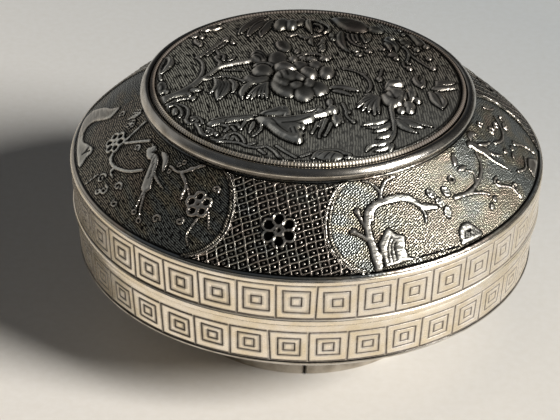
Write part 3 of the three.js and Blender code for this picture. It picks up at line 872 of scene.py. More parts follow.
# %% Wear and dirt of a chased sheet
def softened(height, times, around):
    """A height map blurred by its neighbours, closed on itself round the first way if around says so."""
    h = height
    for _ in range(times):
        for axis in (0, 1):
            before, after = np.roll(h, 1, axis), np.roll(h, -1, axis)
            if axis == 1 or not around:
                first, last = [slice(None)] * 2, [slice(None)] * 2
                first[axis], last[axis] = 0, -1
                before[tuple(first)], after[tuple(last)] = h[tuple(first)], h[tuple(last)]
            h = (before + h * 2 + after) / 4
    return h


def readings(height, cut, around, depth):
    """What the finish needs to know: how far a spot stands out of its neighbourhood, and its dirt."""
    stands_out = height - softened(height, 14, around)
    low = np.clip(-stands_out / depth - 0.15, 0, 1)
    return np.clip(0.5 + stands_out / depth / 1.6, 0, 1).ravel(), np.clip(cut + 0.9 * low, 0, 1).ravel()


bump = np.zeros((5, 5))
bump[2, 2] = 1
print("Blurred once, a bump 1 high is", softened(bump, 1, False).max(), "high")

# %% [markdown]
# ## Shoulder
# The shoulder is a cone, so its sheet unrolls flat without stretching, and the pictures are set out
# on the flat: so many degrees round from the middle of a cartouche, so many millimetres up from the
# rim. Three cartouches hold pictures, and three fields between them a lattice of thin lines with a
# dot in each gap and a flower in the middle. The mesh carries the lattice's relief, and the finish
# draws its thin lines again at the same places, sharper than the mesh can.

# %% The shoulder's sheet
slope_low = np.array([rim_radius - 0.25, rim_high])
slope_high = np.array([neck_radius + 0.08, neck_high - 0.1])
slope_length = float(np.hypot(*(slope_high - slope_low)))
SHOULDER_COLUMNS, SLOPE_ROWS = 1050, 78
MIDDLE_RADIUS = 26.5  # half-way up the slope
share = np.linspace(0, 1, SLOPE_ROWS)
slope = swollen(slope_low, slope_high, 0.25, SLOPE_ROWS)
turn_degrees = np.arange(SHOULDER_COLUMNS) * 360 / SHOULDER_COLUMNS - 180
around_grid, up_grid = np.meshgrid(turn_degrees, share * slope_length, indexing="ij")
cone = (slope_low[0] - slope_high[0]) / slope_length
apex = slope_low[0] / cone


def unrolled(degrees, up_slope):
    """Where a spot is on the flattened cone, from degrees off the middle and millimetres up."""
    turn = np.radians(degrees) * cone
    return (apex - up_slope) * np.sin(turn), apex - (apex - up_slope) * np.cos(turn)


def off(middle):
    """Degrees round from a middle, from -180 to 180, for each point of the shoulder."""
    return (around_grid - middle + 180) % 360 - 180


grid_step = 2 * math.pi * MIDDLE_RADIUS / SHOULDER_COLUMNS
print(f"The slope is {slope_length:.1f} mm long, and a grid step is {grid_step:.2f} mm")

# %% [markdown]
# Each cartouche is rounded at both ends. Two raised lines with a dark one between them frame it, and
# the same shape says where the lattice stops.

# %% Frames of the cartouches
HALF_CARTOUCHE = 47.3
DEGREES_PER_MM = 57.3 / MIDDLE_RADIUS
BAND = (0.045 * slope_length, 0.985 * slope_length)  # the pictures end short of the rim and the neck


def cartouche_end(up_slope):
    """How many degrees from its middle a cartouche ends, at a height up the slope."""
    s = np.clip(up_slope / slope_length, 0, 1)
    curve = 1 - np.sqrt(np.clip(1 - ((s - 0.5) / 0.5) ** 2, 0, 1))
    return HALF_CARTOUCHE - np.where(s < 0.5, 14, 9) * curve


def frame_cartouche(work):
    """The two raised lines and the dark one at both ends of a cartouche."""
    rise = np.linspace(*BAND, 26)
    for side in (-1, 1):
        for inset, height in ((0, 0.2), (0.5, 0.16)):
            degrees = side * (cartouche_end(rise) - inset * DEGREES_PER_MM)
            work.stem(np.stack(unrolled(degrees, rise), 1), 0.27, 0.27, height, flow=False)
        degrees = side * (cartouche_end(rise) - 0.25 * DEGREES_PER_MM)
        work.graver(np.stack(unrolled(degrees, rise), 1), 0.13, 0.05, flow=False)


print("A cartouche is", 2 * HALF_CARTOUCHE, "degrees wide at its middle")

# %% [markdown]
# The pictures are ordinary ones for this ware: rocks, blossom on a crooked branch, and a bird with
# long tail feathers. Places are written as degrees from the cartouche's middle and millimetres up
# the slope, and a mirror factor lets the cartouche at the back reuse the drawing turned round.

# %% Branch and bird
def pencil(mirror):
    """Two functions for a drawing: the places on the flat of a whole line, and of one spot."""

    def at(*places):
        degrees, rise = np.array(places, float).T
        return np.stack(unrolled(mirror * degrees, rise), 1)

    return at, lambda degrees, rise: at((degrees, rise))[0]


def branch_and_bird(work, mirror):
    at, spot = pencil(mirror)
    work.petal(at(
        (-34.3, 2.4), (-29.7, 5.3), (-25, 7.1), (-22.3, 8.6), (-19.7, 7.1), (-22.3, 5.3), (-25, 3.8),
        (-24.3, 2.4), (-19, 2.2), (-15, 3.1), (-10.7, 3.8), (-9.7, 2.4), (-10, 0.9), (-30.4, 0.9),
    ), 0.16)
    for reach in (0.5, 0.95, 1.4):
        a, b = 2.9 - reach, 3.2
        work.graver(at((-14.2 + reach, b), (-12.6, a + 0.4), (-11.0 - reach / 2, b)), 0.12)
    work.blossom(*spot(-5.3, 7.1), 1.65, 6, 0.2, 100)
    work.stem(at((-3.3, 12.1), (-2.3, 8.0)), 0.3, 0.3, 0.14)
    work.stem(at((6.3, 10.9), (-1.6, 8.2)), 0.32, 0.3, 0.14)
    work.blossom(*spot(-11, 11.2), 0.75, 5, 0.13)
    work.blossom(*spot(-7.7, 10.0), 0.75, 5, 0.13)
    work.leaf(at((-9.5, 12.0), (-11.5, 9.6)), 0.6, 0.12)
    work.stem(at((-1.7, 6.0), (-0.4, 5.4), (3.7, 5.4), (9, 6.3), (13, 7.6)), 0.42, 0.3, 0.16)
    work.stem(at((3.7, 5.4), (3.4, 4.6), (5.7, 4.3)), 0.36, 0.2, 0.14)
    for scroll_at, size, start, sweep in (
        ((2.4, 3.1), 0.75, 60, 420), ((6.3, 2.4), 0.7, 120, -420), ((9.7, 4.0), 0.7, 10, 400),
        ((5, 1.8), 0.5, 200, 330),
    ):
        work.stem(scroll(*spot(*scroll_at), size, start, sweep), 0.26, 0.18, 0.13)
    bird = at((9.5, 10.0), (11.4, 9.6), (13.6, 9.7), (15.2, 9.0), (17, 7.4), (18.3, 6.2))
    work.stem(bird, 0.7, 1.15, 0.2)
    work.boss(*spot(10.6, 10.5), 0.55, 0.45, 0.24)
    work.stem(at((9.4, 10.7), (8.3, 10.9)), 0.26, 0.1, 0.14)
    work.leaf(at((14.3, 10.9), (17.6, 10.4), (20, 8.8)), 0.95, 0.2, 3)
    for feather in (
        ((15, 8.3), (19, 5.6), (21, 3.6), (22.4, 2.5)),
        ((16.4, 8.0), (17.6, 6.8), (19, 4.6), (19.8, 3.1)), ((17, 8.2), (20.3, 7.6), (23.7, 7.1)),
    ):
        work.stem(at(*feather), 0.4, 0.16, 0.14)
    work.ring(*spot(22.6, 2.2), 0.32, 0.18, 0.12)
    work.ring(*spot(19.9, 2.8), 0.3, 0.18, 0.12)
    for a, b in (
        ((12.4, 10.2), (13.2, 9.2)), ((13.8, 9.9), (14.6, 8.9)), ((15.2, 9.2), (16, 8.2)),
        ((16.4, 8.2), (17.2, 7.2)),
    ):
        work.graver(at(a, b), 0.1, 0.04)
    work.graver(at((10.5, 10.5), (10.7, 10.4)), 0.12, 0.06)
    work.stem(at((31.7, 12.0), (25.7, 10.0), (21, 10.0)), 0.34, 0.26, 0.15)
    work.stem(at((25.7, 10.0), (29.7, 8.9), (30.7, 6.9)), 0.32, 0.18, 0.14)
    work.stem(at((26.4, 9.8), (31.7, 8.2), (32.6, 7.4)), 0.3, 0.16, 0.13)
    for berry in ((23.5, 10.7), (24.6, 11.3), (28.4, 10.9), (21.8, 9.4)):
        work.ring(*spot(*berry), 0.26, 0.15, 0.12)
    work.blossom(*spot(36.5, 7.1), 1.7, 5, 0.17, 60)
    for scroll_at, size, start, sweep in (
        ((27, 3.4), 0.62, 30, 400), ((12.7, 2.2), 0.6, 160, 380), ((4.4, 9.1), 0.5, 0, 400),
        ((33.5, 4.4), 0.55, 90, -380), ((39.5, 9.6), 0.5, 0, 380), ((-17, 8.9), 0.6, 20, 380),
    ):
        work.stem(scroll(*spot(*scroll_at), size, start, sweep), 0.24, 0.16, 0.12)
    for stalk in (((0, 3.0), (-1, 0.9)), ((38, 5.4), (37, 3.2), (38.5, 1.9)), ((40.2, 6.6), (42, 4.6))):
        work.stem(at(*stalk), 0.24, 0.16, 0.12)


# %% Blossom and rocks
def blossom_and_rocks(work, mirror):
    at, spot = pencil(mirror)
    work.petal(at(
        (-33.7, 0.9), (-34.3, 3.4), (-33, 4.5), (-30.7, 5.6), (-29, 4.7), (-27, 4.2), (-27.7, 2.4),
        (-25.7, 1.3), (-13.7, 0.9),
    ), 0.16)
    for lift in (0.0, 0.9, 1.8):
        work.graver(
            at((-32.6 + lift, 1.4), (-32.2 + lift, 3.2), (-30.6 + lift * 0.5, 4.4 - lift * 0.4)), 0.14,
        )
    work.petal(at((-13, 0.9), (-11.7, 2.7), (-8.6, 3.2), (-7, 2.2), (-6.4, 0.9)), 0.16)
    for reach in (0, 0.8, 1.6):
        work.graver(at((-11.4 + reach, 1.4), (-9.9 + reach, 2.3), (-8.6 + reach, 1.3)), 0.12)
    work.stem(at(
        (-35.4, 0.9), (-36, 5.2), (-35.7, 7.0), (-34.4, 8.3), (-30.4, 8.9), (-26.4, 9.2), (-21.7, 8.7),
        (-19, 7.2), (-15, 6.5),
    ), 0.75, 0.5, 0.2)
    work.stem(
        at((-34.4, 7.0), (-33, 8.3), (-29, 8.8), (-23.7, 8.6), (-20.3, 7.6), (-19, 6.2), (-19.7, 5.1)),
        0.36, 0.22, 0.16,
    )
    work.stem(at((-31, 9.1), (-29.7, 10.1), (-31.7, 11.6), (-34.4, 12.1)), 0.36, 0.22, 0.15)
    work.stem(at((-29.7, 10.1), (-27, 11.4), (-23, 11.8)), 0.34, 0.22, 0.15)
    work.boss(*spot(-38, 8.3), 0.42, 0.36, 0.2)
    work.boss(*spot(-40, 5.8), 0.45, 0.36, 0.2)
    work.stem(at((-40, 5.8), (-37, 4.7), (-35, 3.3), (-34.6, 1.2)), 0.4, 0.36, 0.17)
    work.stem(at((-38, 8.2), (-37, 6.6), (-36, 5.2)), 0.34, 0.3, 0.15)
    work.ring(*spot(-32.4, 8.9), 0.28, 0.18, 0.22)
    for degrees, rise, tilt in (
        (-14.3, 8.2, 20), (-9.3, 7.7, 10), (-13, 6.8, 0), (-12.3, 5.3, -30), (-17.6, 6.9, 60),
    ):
        x, y = spot(degrees, rise)
        work.boss(x, y, 0.5, 0.72, 0.24, tilt, 0.75)
        work.boss(x, y, 0.16, 0.2, 0.2)
    work.ring(*spot(-5, 8.7), 0.4, 0.2, 0.16)
    work.leaf(at((-0.3, 9.8), (2.4, 11.4)), 0.8, 0.16)
    work.leaf(at((-0.5, 9.2), (3.4, 9.0)), 0.7, 0.14)
    work.stem(at((-7.7, 6.5), (-1.7, 6.2), (5, 6.9), (9, 8.0), (11, 9.4)), 0.4, 0.24, 0.16)
    work.stem(at((-3.7, 6.2), (1, 5.4), (3.7, 4.5)), 0.34, 0.18, 0.14)
    work.stem(at((2, 6.5), (4, 7.8), (2, 8.6)), 0.3, 0.16, 0.13)
    work.boss(*spot(12, 10.6), 0.6, 0.5, 0.22)
    work.stem(at((12.4, 10.4), (13.4, 9.4), (15, 8.4)), 0.8, 0.9, 0.2)
    for feather in (
        ((13, 8.9), (15.4, 6.4), (17.7, 4.2)), ((14, 9.4), (17, 7.4), (20.4, 6.2)),
        ((14.6, 9.9), (18, 9.0), (21, 8.6)),
    ):
        work.leaf(at(*feather), 0.5, 0.16, 1)
    work.leaf(at((13.6, 10.9), (16, 11.4), (18.8, 10.6)), 0.9, 0.19, 3)
    for degrees, rise in ((1.7, 3.1), (4.3, 3.6), (24, 4.9), (26.7, 5.4), (22.8, 6.2), (30, 5.2)):
        work.boss(*spot(degrees, rise), 0.42, 0.3, 0.2, 30, 0.6)
    for scroll_at, size, start, sweep in (
        ((9.5, 4.8), 0.7, 60, 380), ((26.3, 8.9), 0.7, 0, 400), ((31, 8.4), 0.6, 180, -380),
        ((24.5, 10.8), 0.5, 0, 380), ((34.5, 6.8), 0.55, 90, 380), ((14, 2.6), 0.6, 20, 380),
        ((38, 7.6), 0.5, 200, 360),
    ):
        work.stem(scroll(*spot(*scroll_at), size, start, sweep), 0.25, 0.17, 0.13)
    for stalk in (
        ((9, 4.4), (12.4, 3.1), (12.9, 1.2)), ((22, 8), (26, 7.2), (31, 7.4), (36, 8.8)),
        ((30, 5), (33, 3.4), (34, 1.4)), ((20, 3.4), (24, 2.6), (28, 3.2)),
        ((36.5, 10.6), (39, 9.2), (41.5, 8.6)),
    ):
        work.stem(at(*stalk), 0.3, 0.16, 0.13)
    work.petal(at((24, 0.9), (25.5, 2.2), (28.4, 2.6), (30.5, 1.9), (31.5, 0.9)), 0.14)


print("Two drawings for three cartouches")

# %% [markdown]
# The lattice has two sets of thin raised lines: steep ones 1.2 mm apart that lean a little, and
# flatter ones 0.85 mm apart that climb to the right. Each gap holds a small dome.

# %% Lattice
LINE_HIGH, LINE_HALF = 0.12, 0.12
KNOB_HIGH, KNOB_RADIUS = 0.09, 0.22


def lattice_at(x, y):
    """How many steep and how many flat lines a spot of the flattened cone has passed."""
    wobble = 0.05 * np.sin(1.7 * x + 0.9 * y) + 0.04 * np.sin(2.9 * y - 1.1 * x)
    lean, climb = math.radians(17), math.radians(26)
    return (
        (x * math.cos(lean) + y * math.sin(lean) + wobble) / STEEP_PITCH,
        (y * math.cos(climb) - x * math.sin(climb) + wobble) / FLAT_PITCH,
    )


def lattice_height(steep, flat):
    """Height of the lattice, from the lines passed."""
    off_steep = np.abs(steep - np.round(steep)) * STEEP_PITCH
    off_flat = np.abs(flat - np.round(flat)) * FLAT_PITCH
    steep_line, flat_line = (np.exp(-((away / LINE_HALF) ** 2)) for away in (off_steep, off_flat))
    lines = LINE_HIGH * np.maximum(steep_line, 0.85 * flat_line)
    to_knob = np.hypot((steep % 1 - 0.5) * STEEP_PITCH, (flat % 1 - 0.5) * FLAT_PITCH)
    knob = KNOB_HIGH * np.sqrt(np.clip(1 - (to_knob / KNOB_RADIUS) ** 2, 0, 1))
    return np.maximum(lines, knob)


print("The lattice's lines are", LINE_HIGH, "mm high and its knobs", KNOB_HIGH, "mm")

# %% [markdown]
# Everything on the slope is chased into one height map. The pictures come first, each in its own
# cartouche, and what a drawing leaves free is ground: strokes in the left and the rear cartouche,
# and pits in the right one, where they catch the lamp.

# %% Chase the pictures
LEFT, RIGHT, REAR = -158, -38, 82  # the middles of the cartouches, in degrees round the box
height, darkening, ground, stipple, latticed = (np.zeros(around_grid.shape) for _ in range(5))
gap = np.ones(around_grid.shape)
strokes = np.zeros((*around_grid.shape, 3))
in_band = (up_grid > BAND[0]) & (up_grid < BAND[1])

for middle, draw, mirror, dotted in (
    (LEFT, branch_and_bird, 1, False), (RIGHT, blossom_and_rocks, 1, True),
    (REAR, branch_and_bird, -1, False),
):
    degrees = off(middle)
    here = np.abs(degrees) < HALF_CARTOUCHE + 3
    x, y = unrolled(degrees[here], up_grid[here])
    work = Chasing(x, y, broad=1.3)
    draw(work, mirror)
    inside = (np.abs(degrees[here]) < cartouche_end(up_grid[here]) - 0.4) & in_band[here]
    ground[here] = np.where(inside, np.clip(1 - work.height / 0.06, 0, 1), 0)
    work.height[~inside] = 0
    work.cut[~inside] = 0
    work.gap[~inside] = 1
    frame_cartouche(work)
    height[here], darkening[here], gap[here] = work.height, work.cut, work.gap
    stipple[here] = dotted
    climb, tighter = (0.15, 1) if dotted else (0, 1.25)
    lay = np.stack([y + 0.12 * np.sin(0.9 * x) - climb * x, x + climb * y, 0 * x], 1)
    strokes[here] = lay * tighter
print("Three pictures are on")

# %% [markdown]
# The three fields between the cartouches get the lattice, with a flower of six petals in a cleared
# spot in the middle. A field stops a little outside the frames, so the lattice runs in behind them.

# %% Chase the fields
for middle in (LEFT + 60, RIGHT + 60, REAR + 60):
    degrees = off(middle)
    here = np.abs(degrees) < 60 - HALF_CARTOUCHE + 16
    x, y = unrolled(degrees[here], up_grid[here])
    outside = in_band[here]
    for neighbour in (middle - 60, middle + 60):
        outside &= np.abs(off(neighbour)[here]) > cartouche_end(up_grid[here]) + 0.25
    work = Chasing(x, y)
    bloom = np.array(unrolled(0.4, 6.0))
    clear = np.hypot(x - bloom[0], y - bloom[1])
    steep, flat = lattice_at(x, y)
    work.height = np.where(outside, lattice_height(steep, flat) * (clear > 1.9), 0)
    work.blossom(*bloom, 2.25, 6, 0.19, 96)
    height[here] = np.where(outside, work.height, height[here])
    gap[here] = np.where(outside, work.gap, gap[here])
    darkening[here] = np.where(outside, 0.35 * (clear < 2.15) * (work.gap > 0), darkening[here])
    latticed[here] = np.where(outside, clear > 2.15, latticed[here])
    strokes[here] = np.where(outside[:, None], np.stack([steep, flat, 0 * steep], 1), strokes[here])
print("Three fields are on")

# %% [markdown]
# A groove closes the band of pictures at the rim and at the neck, and a raised line runs along the
# rim. The film of tarnish is rubbed off whatever stands up. It is also set thinner, so paler and
# rosier, at the front right and at the far left: painted sheen, where the lamp and the window shine
# back. The lattice is worn near the bezel at the front.

# %% Grooves, film, painted sheen and wear
for rise, depth in zip(BAND, (0.06, 0.05)):
    bite = np.clip(1.2 - np.abs(up_grid - rise) / 0.14, 0, 1)
    height -= depth * bite
    darkening = np.maximum(darkening, bite)
height += 0.1 * np.exp(-(((up_grid - 0.25) / 0.13) ** 2))
film = 1 - 0.6 * np.clip(-gap / 0.05, 0, 1)
# Painted sheen: the film is thinned where the lamp shines back at the front right and the window at the far
# left.
for middle, width, thinned_for_sheen in ((-50, 38, 0.18), (-57, 13, 0.35), (-162, 20, 0.6)):
    film -= thinned_for_sheen * np.exp(-(((around_grid - middle) / width) ** 2))
film = np.clip(film - 0.35 * latticed, 0, 1)
near_bezel = np.clip(up_grid / slope_length / 0.35 - 1.4, 0, 1)
in_front = np.exp(-(((around_grid + 90) / 14) ** 2))
latticed *= 1 - 0.6 * near_bezel * in_front
darkening = np.maximum(darkening, np.where(stipple > 0, 0.05, 0.28) * ground)
wear, darkening = readings(height, darkening, True, 0.09)
print("The shoulder's relief is", round(float(height.max()), 2), "mm high at most")

# %% [markdown]
# The chased rows are now laid on the slope, pushed out along its normal, and closed into a ring with
# a rim below, a neck above and the plain back of the sheet inside.

# %% Shoulder mesh
run = np.gradient(slope, axis=0)
normal = np.stack([run[:, 1], -run[:, 0]], 1) / np.hypot(*run.T)[:, None]
radius, level = slope[:, 0] + height * normal[:, 0], slope[:, 1] + height * normal[:, 1]
below = [
    (rim_radius - 0.9, shoulder_low), (rim_radius - 0.03, shoulder_low),
    (rim_radius, shoulder_low + 0.05), (rim_radius, rim_high - 0.28),
    (rim_radius - 0.07, rim_high - 0.09), (rim_radius - 0.16, rim_high - 0.02),
]
above = [
    (neck_radius + 0.02, neck_high - 0.03), (neck_radius - 0.1, neck_high),
    (neck_radius - 0.6, neck_high),
]
hollow = [tuple(p) for p in swollen(slope_high + [-0.5, -0.55], slope_low + [-0.62, -0.5], -0.25, 5)]
rest = np.array(below + above + hollow)


def padded(values, fill):
    """Values of the slope as a whole ring, with fill for the rows below, above and inside it."""
    fill = np.broadcast_to(fill, (SHOULDER_COLUMNS, len(rest)))
    values = np.asarray(values).reshape(SHOULDER_COLUMNS, SLOPE_ROWS)
    return np.hstack([fill[:, : len(below)], values, fill[:, len(below) :]])


ring_radius, ring_level = padded(radius, rest[:, 0]), padded(level, rest[:, 1])
points = round_points(ring_radius, turn_degrees[:, None], ring_level)

shoulder = make(
    "chased_shoulder", points, grid_faces(*ring_radius.shape), chased_silver, sharp=60,
    cut=padded(darkening, 0), wear=padded(wear, 0.62), ground=padded(ground, 0), stipple=padded(stipple, 0),
    lattice=padded(latticed, 0), film=padded(film, 1), gap=padded(gap, 1),
    strokes=np.stack([padded(strokes[..., k], 0) for k in range(3)], -1),
    sheet=on_sheet(points),
)
shoulder.data.materials.append(rubbed_silver)
rim_rows = np.tile(np.arange(ring_radius.shape[1]) < len(below), SHOULDER_COLUMNS)
shoulder.data.polygons.foreach_set("material_index", rim_rows.astype(np.int32))
stands_for(shoulder, "lid", "darkened_silver", "lid_shoulder")

# %% [markdown]
# ## Plaque
# The plaque carries the richest work: flowers, leaves, berries and a long-tailed bird, raised from
# behind by up to 1.4 mm and finished from the front. A square grid pressed into a disc has no
# crowded middle, as a grid of rings would, so every part of the picture gets the same fine mesh.
# Places are millimetres to the right and away from the middle.

# %% The plaque's grid
PLAQUE_STEPS = 301
ground_radius = plaque_radius - 0.65
side = np.linspace(-1, 1, PLAQUE_STEPS)
u, v = np.meshgrid(side, side, indexing="ij")
plaque_x = ground_radius * u * np.sqrt(1 - v**2 / 2)
plaque_y = ground_radius * v * np.sqrt(1 - u**2 / 2)
PICTURE_FORWARD = 0.85
work = Chasing(plaque_x.ravel(), plaque_y.ravel() + PICTURE_FORWARD)
print(f"A step of the plaque's grid is {2 * ground_radius / (PLAQUE_STEPS - 1):.3f} mm")

# %% [markdown]
# A peony fills the middle: a great folded heart on two rows of ruffled petals, more petals behind,
# a pair at the left, a fluted bud and a shell-shaped leaf. An outline and a height give each petal.

# %% Peony
def ruffle(outlines, height, edge=0.95, hollow=0.1):
    """Petals of one row, each from its outline."""
    for outline in outlines:
        work.petal(outline, height, edge, hollow)


ruffle([
    [(-4.9, 0.3), (-4.9, -1.4), (-4.3, -2.8), (-3.3, -3.9), (-2.2, -4.1), (-1.7, -3.2), (-1.6, -1.2)],
    [
        (-2.0, -2.4), (-1.8, -4.0), (-1.1, -4.9), (-0.2, -5.0), (0.5, -4.1), (0.9, -3.0), (0.4, -1.4),
        (-1.2, -1.2),
    ],
    [(0.2, -2.8), (1.1, -3.6), (2.1, -3.1), (2.7, -1.9), (2.3, -0.6), (1.3, 0.0), (0.0, -0.4)],
], 0.95)
ruffle([
    [(-4.7, 0.9), (-4.7, -0.6), (-4.0, -1.8), (-3.0, -2.4), (-2.3, -1.9), (-2.2, -0.5)],
    [(-2.9, -1.6), (-2.2, -2.7), (-1.3, -2.8), (-0.6, -2.2), (-0.5, -1.0), (-1.8, -0.6)],
    [(-0.9, -1.8), (-0.1, -2.5), (0.8, -2.1), (1.1, -1.1), (0.7, 0.1), (-0.5, 0.3)],
], 1.38)
work.boss(-2.6, 0.55, 2.05, 1.8, 1.86, -10)
work.boss(-1.2, 0.0, 1.05, 1.0, 1.7)
ruffle([
    [(-1.3, 2.7), (-0.9, 1.3), (0.1, 0.5), (1.0, 1.0), (1.3, 2.2), (0.6, 3.2), (-0.5, 3.5)],
    [(-4.6, 3.9), (-4.3, 2.7), (-2.9, 2.3), (-1.6, 2.9), (-2.0, 4.1), (-3.3, 4.8)],
], 1.3)
ruffle([
    [(1.2, 2.6), (1.5, 1.3), (2.6, 1.0), (3.3, 1.9), (3.4, 3.2), (2.7, 4.0), (1.7, 3.8)],
    [(-0.2, 4.6), (0.1, 3.4), (1.3, 3.1), (2.0, 3.9), (1.8, 5.0), (0.8, 5.5)],
    [(-2.2, 4.6), (-1.9, 3.2), (-0.8, 2.8), (0.1, 3.5), (-0.1, 4.7), (-1.2, 5.3)],
    [(-7.5, 2.6), (-7.0, 1.2), (-5.8, 0.7), (-4.8, 1.4), (-4.5, 2.8), (-5.3, 4.0), (-6.6, 4.0)],
], 1.05)
ruffle([
    [(-5.3, 4.7), (-4.6, 3.7), (-3.2, 4.2), (-2.6, 5.9), (-3.1, 7.6), (-4.4, 8.1), (-5.3, 6.7)],
    [
        (-8.4, 1.2), (-8.3, 0.0), (-7.2, -0.7), (-5.8, -0.6), (-4.9, 0.3), (-5.3, 1.3), (-6.6, 0.9),
        (-7.6, 1.6),
    ],
], 0.78)
for fold in (
    ((-3.9, 1.7), (-3.6, 0.6), (-3.3, -0.5)), ((-3.1, 1.9), (-2.8, 0.8), (-2.6, -0.1)),
    ((-1.9, 1.5), (-1.8, 0.6)),
):
    work.graver(fold, 0.15, 0.1)
work.stem([(-6.9, 3.9), (-5.6, 4.5), (-4.7, 3.8)], 0.7, 0.6, 0.9)
for x, y, across, along, height in (
    (-2.0, 6.0, 0.7, 0.8, 0.85), (0.4, 6.2, 0.8, 0.55, 0.7), (2.1, 6.4, 0.7, 0.55, 0.75),
    (2.7, 6.9, 0.45, 0.5, 0.7), (-0.7, 6.4, 0.6, 0.5, 0.7),
):
    work.boss(x, y, across, along, height)
work.stem([(-1.3, 6.9), (-0.4, 7.7), (0.6, 7.8), (1.6, 7.5), (2.0, 6.9)], 0.6, 0.5, 0.6)
work.leaf([(-1.6, 7.8), (-1.3, 9.2)], 0.8, 0.6)
work.leaf([(1.5, 8.5), (2.3, 9.9)], 0.8, 0.6)
work.petal([(-4.4, 11.0), (-4.2, 9.4), (-3.3, 8.3), (-2.4, 8.6), (-2.3, 10.0), (-3.2, 11.4)], 0.55, 0.4, 0.3)
print("Peony: up to", round(float(work.height.max()), 2), "mm high")

# %% Bud, shell leaf and branches
def fan(root, ends, bow, **shape):
    """A leaf that is a fan of narrow lobes, from its root to each end, bowed a little to one side."""
    for end in ends:
        middle = [(a + b) / 2 + c for a, b, c in zip(root, end, bow)]
        work.leaf([root, middle, end], ribs=0, **shape)


work.petal([
    (-7.6, 6.4), (-7.3, 5.1), (-6.4, 4.7), (-5.6, 5.2), (-5.2, 6.6), (-5.8, 8.0), (-6.9, 8.3), (-7.6, 7.5),
], 0.9, 0.7)
for flute in (
    ((-7.1, 7.7), (-6.1, 7.2), (-5.5, 6.0)), ((-6.9, 7.0), (-6.1, 6.4), (-5.8, 5.6)),
    ((-7.0, 6.2), (-6.4, 5.7), (-6.2, 5.1)), ((-7.4, 6.6), (-6.6, 6.9)),
):
    work.graver(flute, 0.17, 0.16)
work.leaf([(-7.0, -0.2), (-8.0, -1.6), (-8.5, -3.2), (-8.4, -4.7)], 1.1, 0.75, ribs=0)
fan(
    (-5.1, -0.2), ((-7.9, -4.5), (-7.3, -4.8), (-6.9, -3.6), (-6.4, -4.1), (-5.9, -4.4), (-5.3, -4.6)),
    bow=(-0.15, 0.25), width=0.62, height=0.85, tip=1.3,
)
work.petal([
    (-19.0, -4.4), (-17.4, -3.2), (-16.0, -1.9), (-14.9, -0.4), (-14.2, 0.4), (-13.4, 0.5), (-13.9, -0.6),
    (-14.5, -1.7), (-15.2, -2.8), (-15.1, -3.8), (-16.2, -4.0), (-17.3, -4.6), (-18.3, -5.8),
], 0.62, 0.7, 0.1)
for x, y, across, along, turn in (
    (-14.5, -2.5, 0.85, 0.4, 20), (-15.2, -3.6, 0.35, 0.5, 0), (-14.6, -4.5, 0.32, 0.55, -20),
    (-14.5, -0.9, 0.3, 0.35, 0), (-14.8, -1.5, 0.25, 0.4, 0), (-11.0, 11.4, 0.5, 0.55, 0),
    (-12.0, 6.3, 0.45, 0.4, 0), (-18.1, -2.9, 0.3, 0.5, -20), (-18.2, 3.8, 0.28, 0.75, -10),
):
    work.boss(x, y, across, along, 0.62, turn)
for places, start, end, height in (
    ([(-17.8, -6.2), (-17.2, -5.6), (-16.4, -4.9), (-15.4, -4.6), (-14.8, -4.7)], 0.6, 0.4, 0.5),
    ([(-14.6, -0.4), (-14.0, 0.9), (-13.7, 2.3), (-13.7, 3.9), (-13.9, 5.1), (-14.6, 6.2)], 0.6, 0.42, 0.5),
    ([(-14.6, 6.2), (-13.8, 7.2), (-12.9, 8.6), (-12.0, 9.9), (-11.1, 11.3), (-10.7, 12.0)], 0.5, 0.4, 0.5),
    ([(-13.3, 7.0), (-12.5, 8.3), (-11.6, 9.4), (-11.0, 10.4)], 0.35, 0.3, 0.4),
    ([
        (-13.6, 0.3), (-12.7, 1.7), (-12.0, 2.9), (-11.2, 3.7), (-10.3, 4.2), (-9.2, 4.7), (-8.2, 5.1),
        (-7.4, 5.5),
    ], 0.55, 0.85, 0.75),
    (
        [(-11.6, 3.9), (-11.5, 4.9), (-11.9, 5.6), (-12.1, 6.2), (-11.7, 6.8), (-11.9, 7.6), (-12.1, 8.6)],
        0.6, 0.35, 0.5,
    ),
    ([(-11.7, 7.6), (-11.1, 6.9), (-11.1, 5.8)], 0.4, 0.4, 0.45),
    ([(-10.4, 5.7), (-9.9, 6.1), (-9.6, 6.9)], 0.35, 0.25, 0.4),
    ([(-13.5, 0.3), (-12.4, 0.8), (-11.0, 1.3), (-9.9, 1.1), (-8.9, 0.5), (-8.3, -0.1)], 0.5, 0.4, 0.42),
    ([(-11.0, 3.0), (-9.6, 3.0), (-8.4, 3.0)], 0.4, 0.3, 0.4),
):
    work.stem(places, start, end, height)
for places, width in (
    ([(-12.2, 0.6), (-11.7, -0.8), (-12.0, -2.2), (-12.7, -3.3)], 0.9),
    ([(-11.8, 0.5), (-11.2, -1.3), (-11.5, -3.2), (-11.6, -5.0)], 1.15),
    ([(-11.0, 0.5), (-10.4, -1.2), (-10.7, -3.0), (-11.3, -4.8)], 1.05),
    ([(-10.3, 0.6), (-9.5, -0.7), (-9.5, -1.9), (-9.7, -3.0)], 0.9),
    ([(-15.0, 11.6), (-14.8, 10.4), (-14.4, 9.5)], 0.8), ([(-14.4, 9.4), (-14.1, 10.6)], 0.6),
    ([(-18.8, 6.5), (-18.1, 5.8), (-18.0, 4.6), (-18.5, 3.2), (-19.0, 1.8)], 0.9),
):
    work.leaf(places, width, 0.62)
print("Bud, leaf and branches are on")

# %% [markdown]
# On the right stands a rose, cupped in its outer petals, with a fan-shaped leaf, small leaves and a
# long stem. Its middle is the second highest spot of the plaque.

